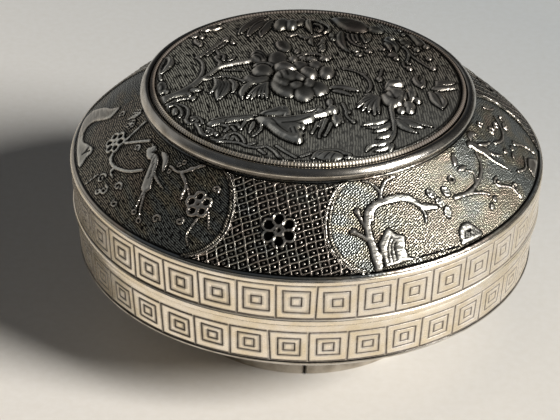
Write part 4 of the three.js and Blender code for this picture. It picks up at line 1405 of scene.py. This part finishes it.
# %% Rose on the right
ruffle([
    [(9.8, -1.2), (9.9, 0.0), (10.8, 0.7), (11.9, 0.6), (12.3, -0.2), (11.5, -0.9)],
    [(12.4, -1.2), (13.2, -1.3), (13.8, -2.4), (13.6, -3.9), (12.9, -4.2), (12.6, -2.8)],
], 1.22, 0.4)
ruffle([
    [(9.4, -2.0), (9.2, -3.6), (9.7, -5.1), (10.8, -5.9), (11.9, -5.4), (12.0, -4.2), (10.4, -3.6)],
    [(11.9, -4.6), (12.8, -4.3), (13.5, -4.9), (13.4, -6.0), (12.6, -6.4), (12.0, -5.8)],
], 1.05)
work.petal([
    (9.7, -1.6), (10.4, -1.2), (11.6, -1.3), (12.3, -1.9), (11.5, -2.4), (10.3, -2.4),
], 1.35, 0.4, 0.1)
work.boss(11.2, -3.1, 1.5, 1.5, 1.56)
work.leaf([(12.0, -3.4), (11.6, -4.5), (11.3, -5.5)], 0.7, 1.35, ribs=0)
for x, y, across, along, height in (
    (11.7, -6.4, 0.55, 0.75, 0.75), (12.8, -6.3, 0.6, 0.8, 0.78), (10.5, -5.9, 0.35, 0.5, 0.7),
    (13.9, -3.9, 0.45, 0.6, 0.9), (9.2, 1.5, 0.42, 0.6, 0.6), (7.3, 2.7, 0.28, 0.34, 0.45),
):
    work.boss(x, y, across, along, height)
for fold in (
    ((10.2, -2.5), (10.6, -3.6), (11.0, -4.4)), ((11.9, -1.9), (12.2, -3.0), (12.0, -4.2)),
    ((12.5, -1.6), (13.0, -2.6), (13.0, -3.8)),
):
    work.graver(fold, 0.15, 0.14)
fan(
    (9.2, -3.6),
    (
        (7.0, -3.0), (6.7, -4.1), (6.2, -5.1), (6.1, -6.2), (6.8, -6.9), (7.5, -7.3), (8.3, -7.8),
        (8.9, -7.4),
    ),
    bow=(-0.3, 0.3), width=0.66, height=0.8, tip=1.2,
)
for places, width in (
    ([(14.6, -0.4), (14.0, 0.8), (13.8, 2.0), (14.3, 3.0)], 0.85),
    ([(14.9, -0.2), (14.8, 1.0), (15.0, 2.4)], 0.75), ([(15.8, -0.6), (17.4, -0.1), (19.0, -0.2)], 1.3),
    ([(15.4, -1.2), (15.9, -2.4), (16.3, -4.0), (17.0, -5.6)], 1.15),
    ([(16.2, -1.0), (17.0, -2.6), (17.3, -3.8), (17.1, -5.3)], 0.9),
    ([(10.0, -8.7), (8.8, -9.4), (7.6, -9.9), (6.7, -10.5)], 0.95),
    ([(10.2, -9.6), (9.6, -10.6), (8.9, -11.3), (8.1, -11.9)], 0.95),
    ([(9.3, -10.4), (8.3, -10.7), (7.3, -10.9)], 0.6),
    ([(10.4, -11.7), (9.6, -12.6), (8.4, -13.4)], 0.85), ([(9.9, -13.4), (9.2, -14.4), (8.1, -15.1)], 0.85),
    ([(9.9, -15.0), (9.0, -15.8), (8.1, -16.3)], 0.8), ([(8.4, -14.6), (7.6, -15.2), (7.0, -16.4)], 0.6),
    ([(11.0, -8.2), (12.2, -8.7), (13.6, -9.2), (15.5, -10.0)], 0.95),
    ([(11.6, -8.9), (12.8, -9.8), (14.4, -10.3)], 1.0),
    ([(11.0, -8.6), (11.7, -10.0), (12.6, -11.0), (13.6, -11.6)], 1.15),
    ([(11.1, -7.9), (12.2, -8.0), (13.2, -8.5)], 0.6), ([(10.3, -14.2), (10.3, -15.0), (10.2, -16.0)], 0.4),
):
    work.leaf(places, width, 0.62)
work.petal([(16.4, 1.8), (17.8, 2.0), (19.0, 1.6), (18.3, 0.9), (17.0, 0.5), (16.4, 0.2)], 0.35, 0.4)
for places, start, end in (
    ([(10.5, -6.2), (10.6, -8.0), (10.7, -10.0), (10.6, -12.0), (10.2, -13.4), (9.7, -14.4)], 0.65, 0.4),
    ([(9.7, -14.2), (9.9, -15.0), (10.1, -16.2)], 0.4, 0.3),
    ([(5.0, 3.9), (6.3, 3.3), (7.3, 2.2), (7.9, 0.8), (8.0, -0.8), (7.5, -2.0)], 0.42, 0.32),
    ([(9.6, 4.2), (9.4, 3.0), (9.2, 2.1)], 0.3, 0.3),
    ([(4.3, -5.0), (4.7, -6.6), (4.8, -8.0), (5.3, -9.2)], 0.4, 0.25),
):
    work.stem(places, start, end, 0.42)
work.leaf([(2.6, -1.4), (4.0, -1.1), (5.3, -1.4), (6.6, -1.9)], 1.3, 0.7)
work.leaf([(3.0, -2.0), (4.2, -2.2), (5.6, -3.0)], 0.8, 0.5)
for x, y, across, along in (
    (5.1, -7.2, 0.2, 0.35), (5.6, -9.4, 0.26, 0.42), (2.7, -4.9, 0.42, 0.95), (4.7, 4.1, 0.36, 0.34),
):
    work.boss(x, y, across, along, 0.5)
print("Rose, leaves and stems are on")

# %% [markdown]
# Along the top: a flower with folded petals and streamers, a second with stamens, leaves, and a
# spray of berries that comes down on the right.

# %% Flowers and berries along the top
for x, y, across, along, height, turn in (
    (-3.6, 16.1, 1.05, 1.8, 1.0, -14), (-2.2, 15.9, 0.85, 1.5, 1.15, -8),
    (-1.0, 16.9, 0.7, 1.2, 0.85, -15),
):
    work.boss(x, y, across, along, height, turn)
work.leaf([(0.1, 17.6), (0.0, 15.9), (0.3, 14.5), (0.5, 13.7)], 1.05, 0.95, ribs=0)
for places, start, end, height in (
    ([(0.7, 17.6), (1.6, 16.9), (2.3, 16.2), (2.8, 15.4), (2.8, 14.6), (2.2, 13.9)], 0.45, 0.45, 0.9),
    ([(0.9, 16.5), (1.7, 15.9), (1.9, 15.0), (1.4, 14.3)], 0.4, 0.4, 0.75),
    ([(-2.5, 12.8), (-1.4, 13.3), (-0.8, 12.5), (-0.1, 12.2), (0.7, 12.7), (1.7, 13.3)], 0.6, 0.5, 0.65),
):
    work.stem(places, start, end, height)
for edge, body in (
    (
        [(-5.9, 18.7), (-7.2, 17.5), (-8.3, 16.1), (-9.0, 14.7), (-9.3, 13.2)],
        [(-6.0, 18.2), (-7.4, 16.6), (-8.4, 15.2), (-9.0, 13.2)],
    ),
    (
        [(-5.4, 17.9), (-6.6, 16.8), (-7.5, 15.4), (-8.0, 13.9), (-8.1, 12.6)],
        [(-5.3, 17.4), (-6.6, 15.9), (-7.4, 14.4), (-7.9, 12.6)],
    ),
    (
        [(-4.8, 17.6), (-5.6, 16.2), (-6.1, 14.9), (-6.5, 13.8), (-6.3, 12.6)],
        [(-4.7, 17.0), (-5.5, 15.4), (-5.9, 14.0), (-6.2, 12.6)],
    ),
):
    work.leaf(body, 1.0, 0.42, ribs=0)
    work.stem(edge, 0.36, 0.26, 0.5)
work.petal([
    (3.0, 18.4), (4.0, 16.2), (4.8, 15.1), (5.6, 14.5), (6.9, 14.3), (7.9, 14.7), (8.1, 16.0),
    (7.4, 17.4), (5.2, 18.5),
], 0.8, 0.8, 0.1)
work.petal([(8.2, 16.2), (8.1, 15.0), (9.0, 14.3), (10.0, 14.5), (10.1, 15.4), (9.3, 16.2)], 0.7, 0.5, 0.1)
for x, y, across, along, height, turn in (
    (3.1, 13.3, 0.38, 0.6, 0.7, 0), (3.3, 12.1, 0.38, 0.42, 0.65, 0), (1.9, 10.1, 0.36, 0.62, 0.6, -30),
    (6.3, 9.0, 0.5, 0.36, 0.6, 10), (8.0, 9.0, 0.5, 0.4, 0.65, 0), (7.5, 10.2, 0.32, 0.28, 0.6, 0),
    (6.7, 7.9, 0.48, 0.42, 0.65, 0), (9.9, 9.8, 0.45, 0.3, 0.6, 30), (10.9, 12.9, 0.78, 0.4, 0.7, 0),
    (12.8, 14.4, 0.28, 0.42, 0.5, -15), (12.4, 15.6, 0.3, 0.4, 0.45, 20),
    (13.0, 12.0, 0.8, 0.6, 0.4, -50), (11.2, 8.3, 0.7, 0.65, 0.55, 0),
):
    work.boss(x, y, across, along, height, turn)
for x, y, size in (
    (12.5, 12.5, 0.4), (13.2, 10.9, 0.4), (15.7, 10.9, 0.42), (14.4, 10.0, 0.45), (14.2, 8.8, 0.24),
    (15.9, 7.6, 0.42), (16.3, 5.0, 0.45), (13.2, 4.6, 0.42), (13.2, 6.0, 0.24), (11.6, 7.2, 0.4),
    (-10.0, 10.5, 0.36),
):
    work.boss(x, y, size, size * 1.05, 0.72)
work.petal([
    (13.3, 14.6), (14.2, 14.0), (15.2, 12.9), (15.7, 11.6), (15.2, 11.2), (14.5, 11.5), (14.0, 12.8),
], 0.6, 0.5)
for places, width in (
    ([(4.5, 14.8), (4.3, 12.9), (4.4, 11.0), (4.9, 9.4), (5.6, 8.5)], 1.25),
    ([(0.5, 12.2), (0.3, 11.2), (0.7, 10.2)], 0.7), ([(1.9, 12.4), (1.9, 11.2), (1.2, 10.3)], 0.7),
    ([(8.3, 13.1), (8.0, 12.2), (7.7, 11.5)], 0.5),
    ([(10.0, 12.6), (11.0, 11.8), (11.7, 10.6), (11.7, 9.2)], 1.0),
    ([(10.1, 11.8), (10.7, 10.7), (10.9, 9.4)], 0.8), ([(-13.9, 13.7), (-13.2, 14.7), (-12.3, 15.6)], 0.85),
    ([(-13.4, 14.1), (-12.5, 14.5), (-11.4, 15.1)], 0.75),
    ([(-14.0, 14.3), (-13.4, 15.3), (-12.8, 15.9)], 0.5), ([(-12.3, 16.0), (-11.3, 17.0)], 0.5),
):
    work.leaf(places, width, 0.6)
for places in (
    [(5.3, 14.0), (5.4, 12.6), (5.8, 11.5), (6.5, 10.7), (7.3, 10.3)],
    [(5.9, 13.9), (6.0, 12.7), (6.3, 11.7)], [(6.4, 13.8), (6.6, 12.6), (6.7, 11.9)],
    [(7.1, 13.9), (7.4, 12.6), (7.6, 11.6)],
    [(12.6, 10.8), (13.2, 9.4), (13.2, 7.8), (12.9, 6.6)],
    [(13.2, 9.0), (14.2, 7.4), (15.2, 6.0), (15.8, 5.2)], [(12.4, 6.4), (12.5, 5.4), (12.9, 4.8)],
    [(-14.3, 14.0), (-13.0, 14.9)],
):
    work.stem(places, 0.36, 0.28, 0.48)
work.boss(-15.3, 12.9, 0.75, 0.95, 0.55, 0, 0.6)
work.boss(-14.2, 12.2, 0.38, 0.5, 0.6)
print("Two flowers and eleven berries are on")

# %% [markdown]
# Below the peony flies a bird, head to the right and tail to the left, with one wing raised and one
# spread towards the rim. Curling rocks follow the rim under it, and a mound closes the picture.

# %% Bird
work.stem([(-12.0, -10.7), (-10.6, -10.1), (-8.9, -9.6), (-7.2, -9.2)], 1.25, 0.8, 0.58)
work.stem([(-12.0, -9.7), (-10.2, -9.1), (-8.2, -8.7), (-6.6, -8.5)], 0.4, 0.35, 0.5)
work.petal([
    (-6.3, -8.2), (-4.9, -7.4), (-3.8, -6.6), (-2.7, -6.6), (-2.2, -7.6), (-2.3, -8.8), (-3.6, -8.9),
    (-5.2, -8.8),
], 0.88, 0.5, 0.1)
work.ring(-2.9, -7.5, 0.42, 0.3, 1.02)
work.boss(-2.7, -8.8, 0.35, 0.7, 0.98, -40)
work.petal([
    (-6.8, -9.3), (-5.0, -9.4), (-3.2, -9.3), (-1.4, -8.8), (0.0, -8.4), (0.8, -8.9), (0.6, -9.9),
    (-0.8, -10.9), (-2.2, -11.5), (-4.2, -11.7), (-5.9, -11.0),
], 1.18, 0.9, 0.05)
work.petal([
    (-5.8, -10.7), (-4.9, -12.0), (-3.9, -13.4), (-2.7, -14.5), (-1.5, -15.1), (-0.8, -14.6),
    (-0.8, -13.4), (-1.2, -12.0), (-0.8, -11.0), (-3.0, -10.6),
], 1.0, 0.7, 0.25)
for x, y, across, along, height, turn in (
    (-1.3, -14.4, 0.6, 0.8, 1.12, 0), (-0.7, -11.3, 0.3, 0.55, 0.85, 0), (-0.9, -12.7, 0.25, 0.5, 0.8, 0),
    (3.0, -7.1, 0.75, 0.9, 0.95, 0), (1.5, -7.3, 0.55, 0.55, 0.8, 0), (-7.7, -9.8, 0.5, 0.28, 0.62, 30),
):
    work.boss(x, y, across, along, height, turn)
work.ring(3.0, -6.9, 0.5, 0.28, 1.12)
work.stem([(0.2, -8.9), (1.2, -8.6), (2.0, -8.2), (2.4, -7.6)], 0.95, 0.8, 1.0)
work.stem([(-0.5, -7.6), (0.3, -7.3), (0.9, -6.9), (1.5, -6.2)], 0.5, 0.35, 0.8)
work.stem([(-0.3, -8.2), (0.5, -8.0), (0.8, -7.5)], 0.35, 0.3, 0.75)
work.leaf([(3.2, -8.2), (3.5, -9.4), (3.4, -10.9)], 1.25, 0.85)
for places, start in (
    ([(1.1, -10.0), (0.8, -11.3), (0.4, -12.6)], 0.45),
    ([(2.2, -9.2), (1.8, -11.1), (1.4, -12.5), (1.3, -13.5)], 0.6),
    ([(2.8, -10.2), (2.4, -11.9), (2.0, -13.1)], 0.5), ([(1.7, -9.4), (1.3, -10.9)], 0.4),
    ([(-5.9, -10.6), (-5.9, -11.8), (-6.4, -12.9), (-6.9, -13.5)], 0.36),
    ([(-7.9, -10.2), (-8.2, -11.1), (-8.4, -12.0)], 0.4),
    ([(-10.3, -11.2), (-9.6, -10.9), (-8.9, -11.1)], 0.35), ([(4.0, -8.4), (4.3, -9.6)], 0.4),
):
    work.stem(places, start, 0.25, 0.58)
work.leaf([(-6.8, -10.0), (-7.0, -11.2), (-7.4, -12.8)], 0.6, 0.65)
for mark in (
    ((-5.6, -8.5), (-3.9, -8.2)), ((-2.3, -12.2), (-2.1, -13.2)), ((-1.8, -12.0), (-1.5, -13.4)),
    ((-4.6, -10.4), (-3.4, -12.2), (-2.6, -13.2)), ((-5.6, -9.9), (-3.6, -10.2), (-1.6, -9.8)),
    ((-10.6, -10.8), (-10.2, -10.0)), ((-3.3, -11.2), (-1.6, -10.8), (0.2, -9.6)),
):
    work.graver(mark, 0.13, 0.1)
print("The bird is on")

# %% Rocks, scrolls and mound
for places in (
    [(-17.7, -7.7), (-17.7, -6.7), (-17.0, -6.2), (-16.2, -7.0), (-15.9, -8.2), (-16.2, -9.1)],
    [(-16.8, -5.8), (-15.9, -6.2), (-15.2, -7.1), (-15.1, -8.3), (-15.3, -9.5), (-15.1, -10.2)],
    [(-15.4, -9.8), (-15.0, -10.6), (-14.2, -10.5), (-13.9, -9.9), (-14.2, -9.5), (-14.6, -9.9)],
    [(-14.6, -9.2), (-13.9, -9.1), (-13.4, -9.8), (-13.2, -10.5)],
    [(-13.4, -11.9), (-13.2, -12.9), (-12.5, -13.4), (-11.9, -12.9), (-11.9, -12.1), (-12.5, -11.7)],
    [(-14.0, -10.8), (-13.7, -11.7), (-13.3, -13.1), (-12.7, -13.9), (-12.2, -14.5)],
    [(-12.3, -14.4), (-11.3, -14.5), (-10.5, -14.0), (-10.1, -13.2)],
    [(-10.0, -14.1), (-9.9, -13.2), (-9.2, -12.8), (-8.5, -13.3), (-8.1, -14.1), (-7.9, -14.9)],
    [
        (-12.2, -14.9), (-10.4, -14.8), (-8.6, -15.1), (-7.6, -15.8), (-6.3, -16.1), (-5.2, -15.8),
        (-4.2, -16.9), (-3.4, -18.4),
    ],
    [(-10.8, -10.9), (-10.0, -11.6), (-10.4, -12.4)],
    [(-9.5, -11.4), (-9.1, -12.2)], [(-8.9, -10.5), (-8.6, -11.6)],
    [(-3.9, -15.6), (-2.9, -16.8), (-1.6, -18.1)], [(-4.1, -16.9), (-3.7, -17.9), (-3.2, -18.6)],
    [(0.2, -17.1), (-0.9, -17.9)],
    [(0.5, -18.2), (0.8, -17.3), (1.4, -16.6), (2.6, -16.3), (3.6, -16.3), (4.3, -16.8)],
    [(4.3, -16.9), (5.0, -17.1), (4.9, -17.8), (4.5, -17.9)], [(5.1, -17.7), (5.9, -17.8), (6.6, -17.8)],
    [(-18.8, 6.7), (-19.0, 5.3), (-19.3, 3.6), (-19.2, 1.8), (-19.0, 0.4)],
    [(-9.5, -14.3), (-9.2, -13.6), (-8.7, -14.5)], [(-7.3, -15.4), (-6.6, -15.0)],
    [(-6.0, -16.6), (-5.4, -17.4)],
):
    work.stem(places, 0.44, 0.36, 0.36)
for x, y, across, along, rim in (
    (-16.8, -7.7, 0.4, 0.9, 0), (-12.4, -12.5, 0.38, 0.36, 0), (-11.4, -13.1, 0.3, 0.5, 0),
    (-13.6, -10.9, 0.2, 0.32, 0), (-18.8, -1.8, 0.62, 1.6, 0.7), (-18.9, -1.9, 0.2, 0.8, 0),
):
    work.boss(x, y, across, along, 0.5, 0, rim)
work.boss(2.5, -17.6, 1.7, 1.0, 0.55, 0)
for mark in (((1.2, -17.8), (1.9, -17.0)), ((1.9, -18.3), (2.6, -17.2)), ((2.7, -18.4), (3.2, -17.4))):
    work.graver(mark, 0.13, 0.1)
print("Plaque: relief up to", round(float(work.height.max()), 2), "mm")

# %% [markdown]
# The ground stands a step above the milled wire and swells gently towards the middle, and the relief
# dies away just short of its edge. The strokes of the ground run nearly upright and lean more on the
# left. The plaque is painted paler towards the near right, where the lamp is, and darker towards the
# far side through a thicker film: painted light and painted shade. The film is also thicker on the
# raised shapes. The disc is then closed with a flat border, an edge and a back.

# %% Relief of the plaque
out = np.hypot(plaque_x, plaque_y) / ground_radius
step_up, dome = 0.45, 0.35
tallest = relief_high - border_high - step_up - dome
drawn, cut = work.height.reshape(out.shape), work.cut.reshape(out.shape)
DRAWN_TALLEST = 1.9  # the scale that the heights above are written in
relief = tallest * np.clip(drawn, 0, None) / DRAWN_TALLEST * np.clip((1 - out) * 40, 0, 1)
relief += np.minimum(drawn, 0)
wear, darkening = readings(relief, cut, False, 0.24)
# Painted shade and dirt: the creases and the feet of the relief are darkened.
creases = softened(relief, 4, False) - relief
darkening = np.maximum(darkening, np.clip(creases / 0.08 - 0.3, 0, 1).ravel())
# Painted shadow: a dark ring at the edge of the ground, where the plate drops to the milled wire.
darkening = np.maximum(darkening, np.clip((out.ravel() - 0.978) / 0.008, 0, 0.9))
edge_round = np.sqrt(1 - (1 - np.clip((1 - out) / 0.02, 0, 1)) ** 2)
level = border_high + step_up * edge_round + dome * (1 - out**2) + softened(relief, 3, False)
level -= CROWN_LEAN * plaque_x
level = np.minimum(level, relief_high - 0.002)
print("Over its ground the plaque is raised by", round(float(relief.max()), 2), "mm at most")

# %% Plaque mesh
points = np.stack([plaque_x, plaque_y, level], -1).reshape(-1, 3)
n = PLAQUE_STEPS
faces = grid_faces(n, n, closed=(False, False))
edge = [k * n for k in range(n - 1)] + [(n - 1) * n + k for k in range(n - 1)]
edge += [k * n + n - 1 for k in range(n - 1, 0, -1)] + [k for k in range(n - 1, 0, -1)]
rim = points[edge, :2] / np.hypot(*points[edge, :2].T)[:, None] * plaque_radius
count, first = len(edge), len(points)
upper, lower = (np.column_stack([rim, np.full(count, z)]) for z in (border_high, plaque_low))
points = np.vstack([points, upper, lower])
for k in range(count):
    m = (k + 1) % count
    faces.append([edge[k], first + k, first + m, edge[m]])
    faces.append([first + k, first + count + k, first + count + m, first + m])
faces.append([first + count + k for k in range(count)][::-1])
extra = np.zeros(2 * count)  # for the two rings of points that close the disc
flat = np.clip(1 - relief / 0.12, 0, 1)
# Painted light: paler towards the near right, where the lamp is; the film below darkens the far side as
# painted shade.
near_right_painted_light = np.clip(0.018 * plaque_x - 0.03 * plaque_y - 0.08, 0, 0.5)
film = np.clip(0.1 + 0.18 * (1 - flat) + 0.012 * plaque_x + 0.03 * plaque_y, 0, 0.75)
lean = 0.17 + 0.01 * np.clip(-points[:, 0], 0, 20) + 0.006 * points[:, 1]
# cut carries dirt, painted shade in the creases and a painted shadow at the edge; wear and ground carry the
# painted light.
plaque = make(
    "raised_plaque", points, faces, chased_silver, sharp=70,
    cut=np.append(darkening, extra + 0.8), wear=np.append(np.minimum(wear + near_right_painted_light.ravel(), 1), extra + 0.4),
    ground=np.append(flat * (1 - near_right_painted_light), extra), film=np.append(film, extra),
    gap=np.append(0.6 * work.gap, extra + 1), stipple=np.zeros(len(points)),
    strokes=np.column_stack([points[:, 0] + lean * points[:, 1], points[:, 1] * 0.6, 0 * points[:, 0]]),
    sheet=points * [1, 1, 0],
)
stands_for(plaque, "lid", "darkened_silver", "medallion_plaque")

# %% [markdown]
# ## Table and light
# The box stands on a pale matt table top. One lamp shines from the front right, 30 degrees above the
# table: that throws the long shadow to the back left and puts the sparkle on the front right of
# every petal. A silver box mostly shows what is round it, so the room matters as much as the lamp.
# It is dark overhead, which blackens the plaque and the front of the shoulder, and pale near the
# horizon, which keeps the hoops bright. It is darker on the right, and a soft window at the back
# left puts the sheen on that side of the bezel and the shoulder. The table itself gets a cooler and
# darker paint towards the back right, where the photographer's cloth turns into shade.

# %% Table
table_paint = bpy.data.materials.new("matt_table_paint")
table_paint.use_nodes = True
tree = table_paint.node_tree
place = add(tree, "TexCoord", {}, "Object")
grain = add(tree, "TexNoise", {"Vector": place, "Scale": 900, "Detail": 3})
x, y = (add(tree, "SeparateXYZ", {"Vector": place}, axis) for axis in "XY")
to_back_right = add(tree, "Math", {0: x, 1: 0.94, 2: y}, operation="MULTIPLY_ADD")
fall = add(tree, "MapRange", {"Value": to_back_right, "From Min": -0.07, "From Max": 0.12})
paint, grainy = (
    add(tree, "Mix", {"Factor": share, "A": linear(low), "B": linear(high)}, data_type="RGBA")
    for share, low, high in ((fall, "#ede6dc", "#bec0bf"), (grain, "#f4f2ee", "#ffffff"))
)
plug(tree, tree.nodes["Principled BSDF"], {
    "Base Color": add(
        tree, "Mix", {"Factor": 1.0, "A": paint, "B": grainy}, data_type="RGBA", blend_type="MULTIPLY",
    ),
    "Roughness": 0.6,
    "Specular IOR Level": 0.2,
})
TABLE_HALF = 2
corners = [(a * TABLE_HALF, b * TABLE_HALF, 0) for a, b in ((-1, -1), (1, -1), (1, 1), (-1, 1))]
table = bpy.data.objects.new("table", bpy.data.meshes.new("table"))
table.data.from_pydata(corners, [], [(0, 1, 2, 3)])
table.data.materials.append(table_paint)
bpy.context.scene.collection.objects.link(table)
print("The table is", 2 * TABLE_HALF, "m across")

# %% Light
def lamp(name, azimuth, rise, distance, size, power, colour):
    """A round lamp that shines at the middle of the box."""
    data = bpy.data.lights.new(name, "AREA")
    data.shape, data.size, data.energy, data.color = "DISK", size, power, linear(colour)[:3]
    made = bpy.data.objects.new(name, data)
    a, e = math.radians(azimuth), math.radians(rise)
    way = Vector((math.cos(a) * math.cos(e), math.sin(a) * math.cos(e), math.sin(e)))
    made.location = Vector((0, 0, 0.02)) + way * distance
    made.rotation_mode = "QUATERNION"
    made.rotation_quaternion = way.to_track_quat("Z", "Y")
    bpy.context.scene.collection.objects.link(made)
    return made


lamp("low_sun", azimuth=-28, rise=30, distance=3.0, size=1.15, power=165, colour="#ffffff")

world = bpy.data.worlds.new("room")
bpy.context.scene.world = world
world.use_nodes = True
tree = world.node_tree
facing = add(tree, "TexCoord", {}, "Generated")
x, z = (add(tree, "SeparateXYZ", {"Vector": facing}, axis) for axis in "XZ")
room = add(
    tree, "ValToRGB", {"Fac": z},
    stops=(
        (0.0, "#8b8883"), (0.14, "#565553"), (0.32, "#393b3f"), (0.6, "#34373b"), (0.85, "#404347"),
        (1.0, "#4c4f54"),
    ),
)
shade = add(
    tree, "MapRange",
    {"Value": x, "From Min": -0.6, "From Max": 0.5, "To Min": 1.35, "To Max": 0.3},
)
to_window = add(tree, "VectorMath", {0: facing, 1: (-0.72, 0.6, 0.33)}, operation="DOT_PRODUCT")
window = add(
    tree, "MapRange", {"Value": to_window, "From Min": 0.7, "From Max": 0.96, "To Max": 0.26},
    interpolation_type="SMOOTHSTEP",
)
lit = add(tree, "VectorMath", {0: room, 1: shade, 2: window}, operation="MULTIPLY_ADD")
seen = add(tree, "LightPath", {}, "Is Camera Ray")
backdrop = add(tree, "Mix", {"Factor": seen, "A": lit, "B": linear("#dcdad6")}, data_type="RGBA")
plug(tree, tree.nodes["Background"], {"Color": backdrop})
print("One lamp and a room")
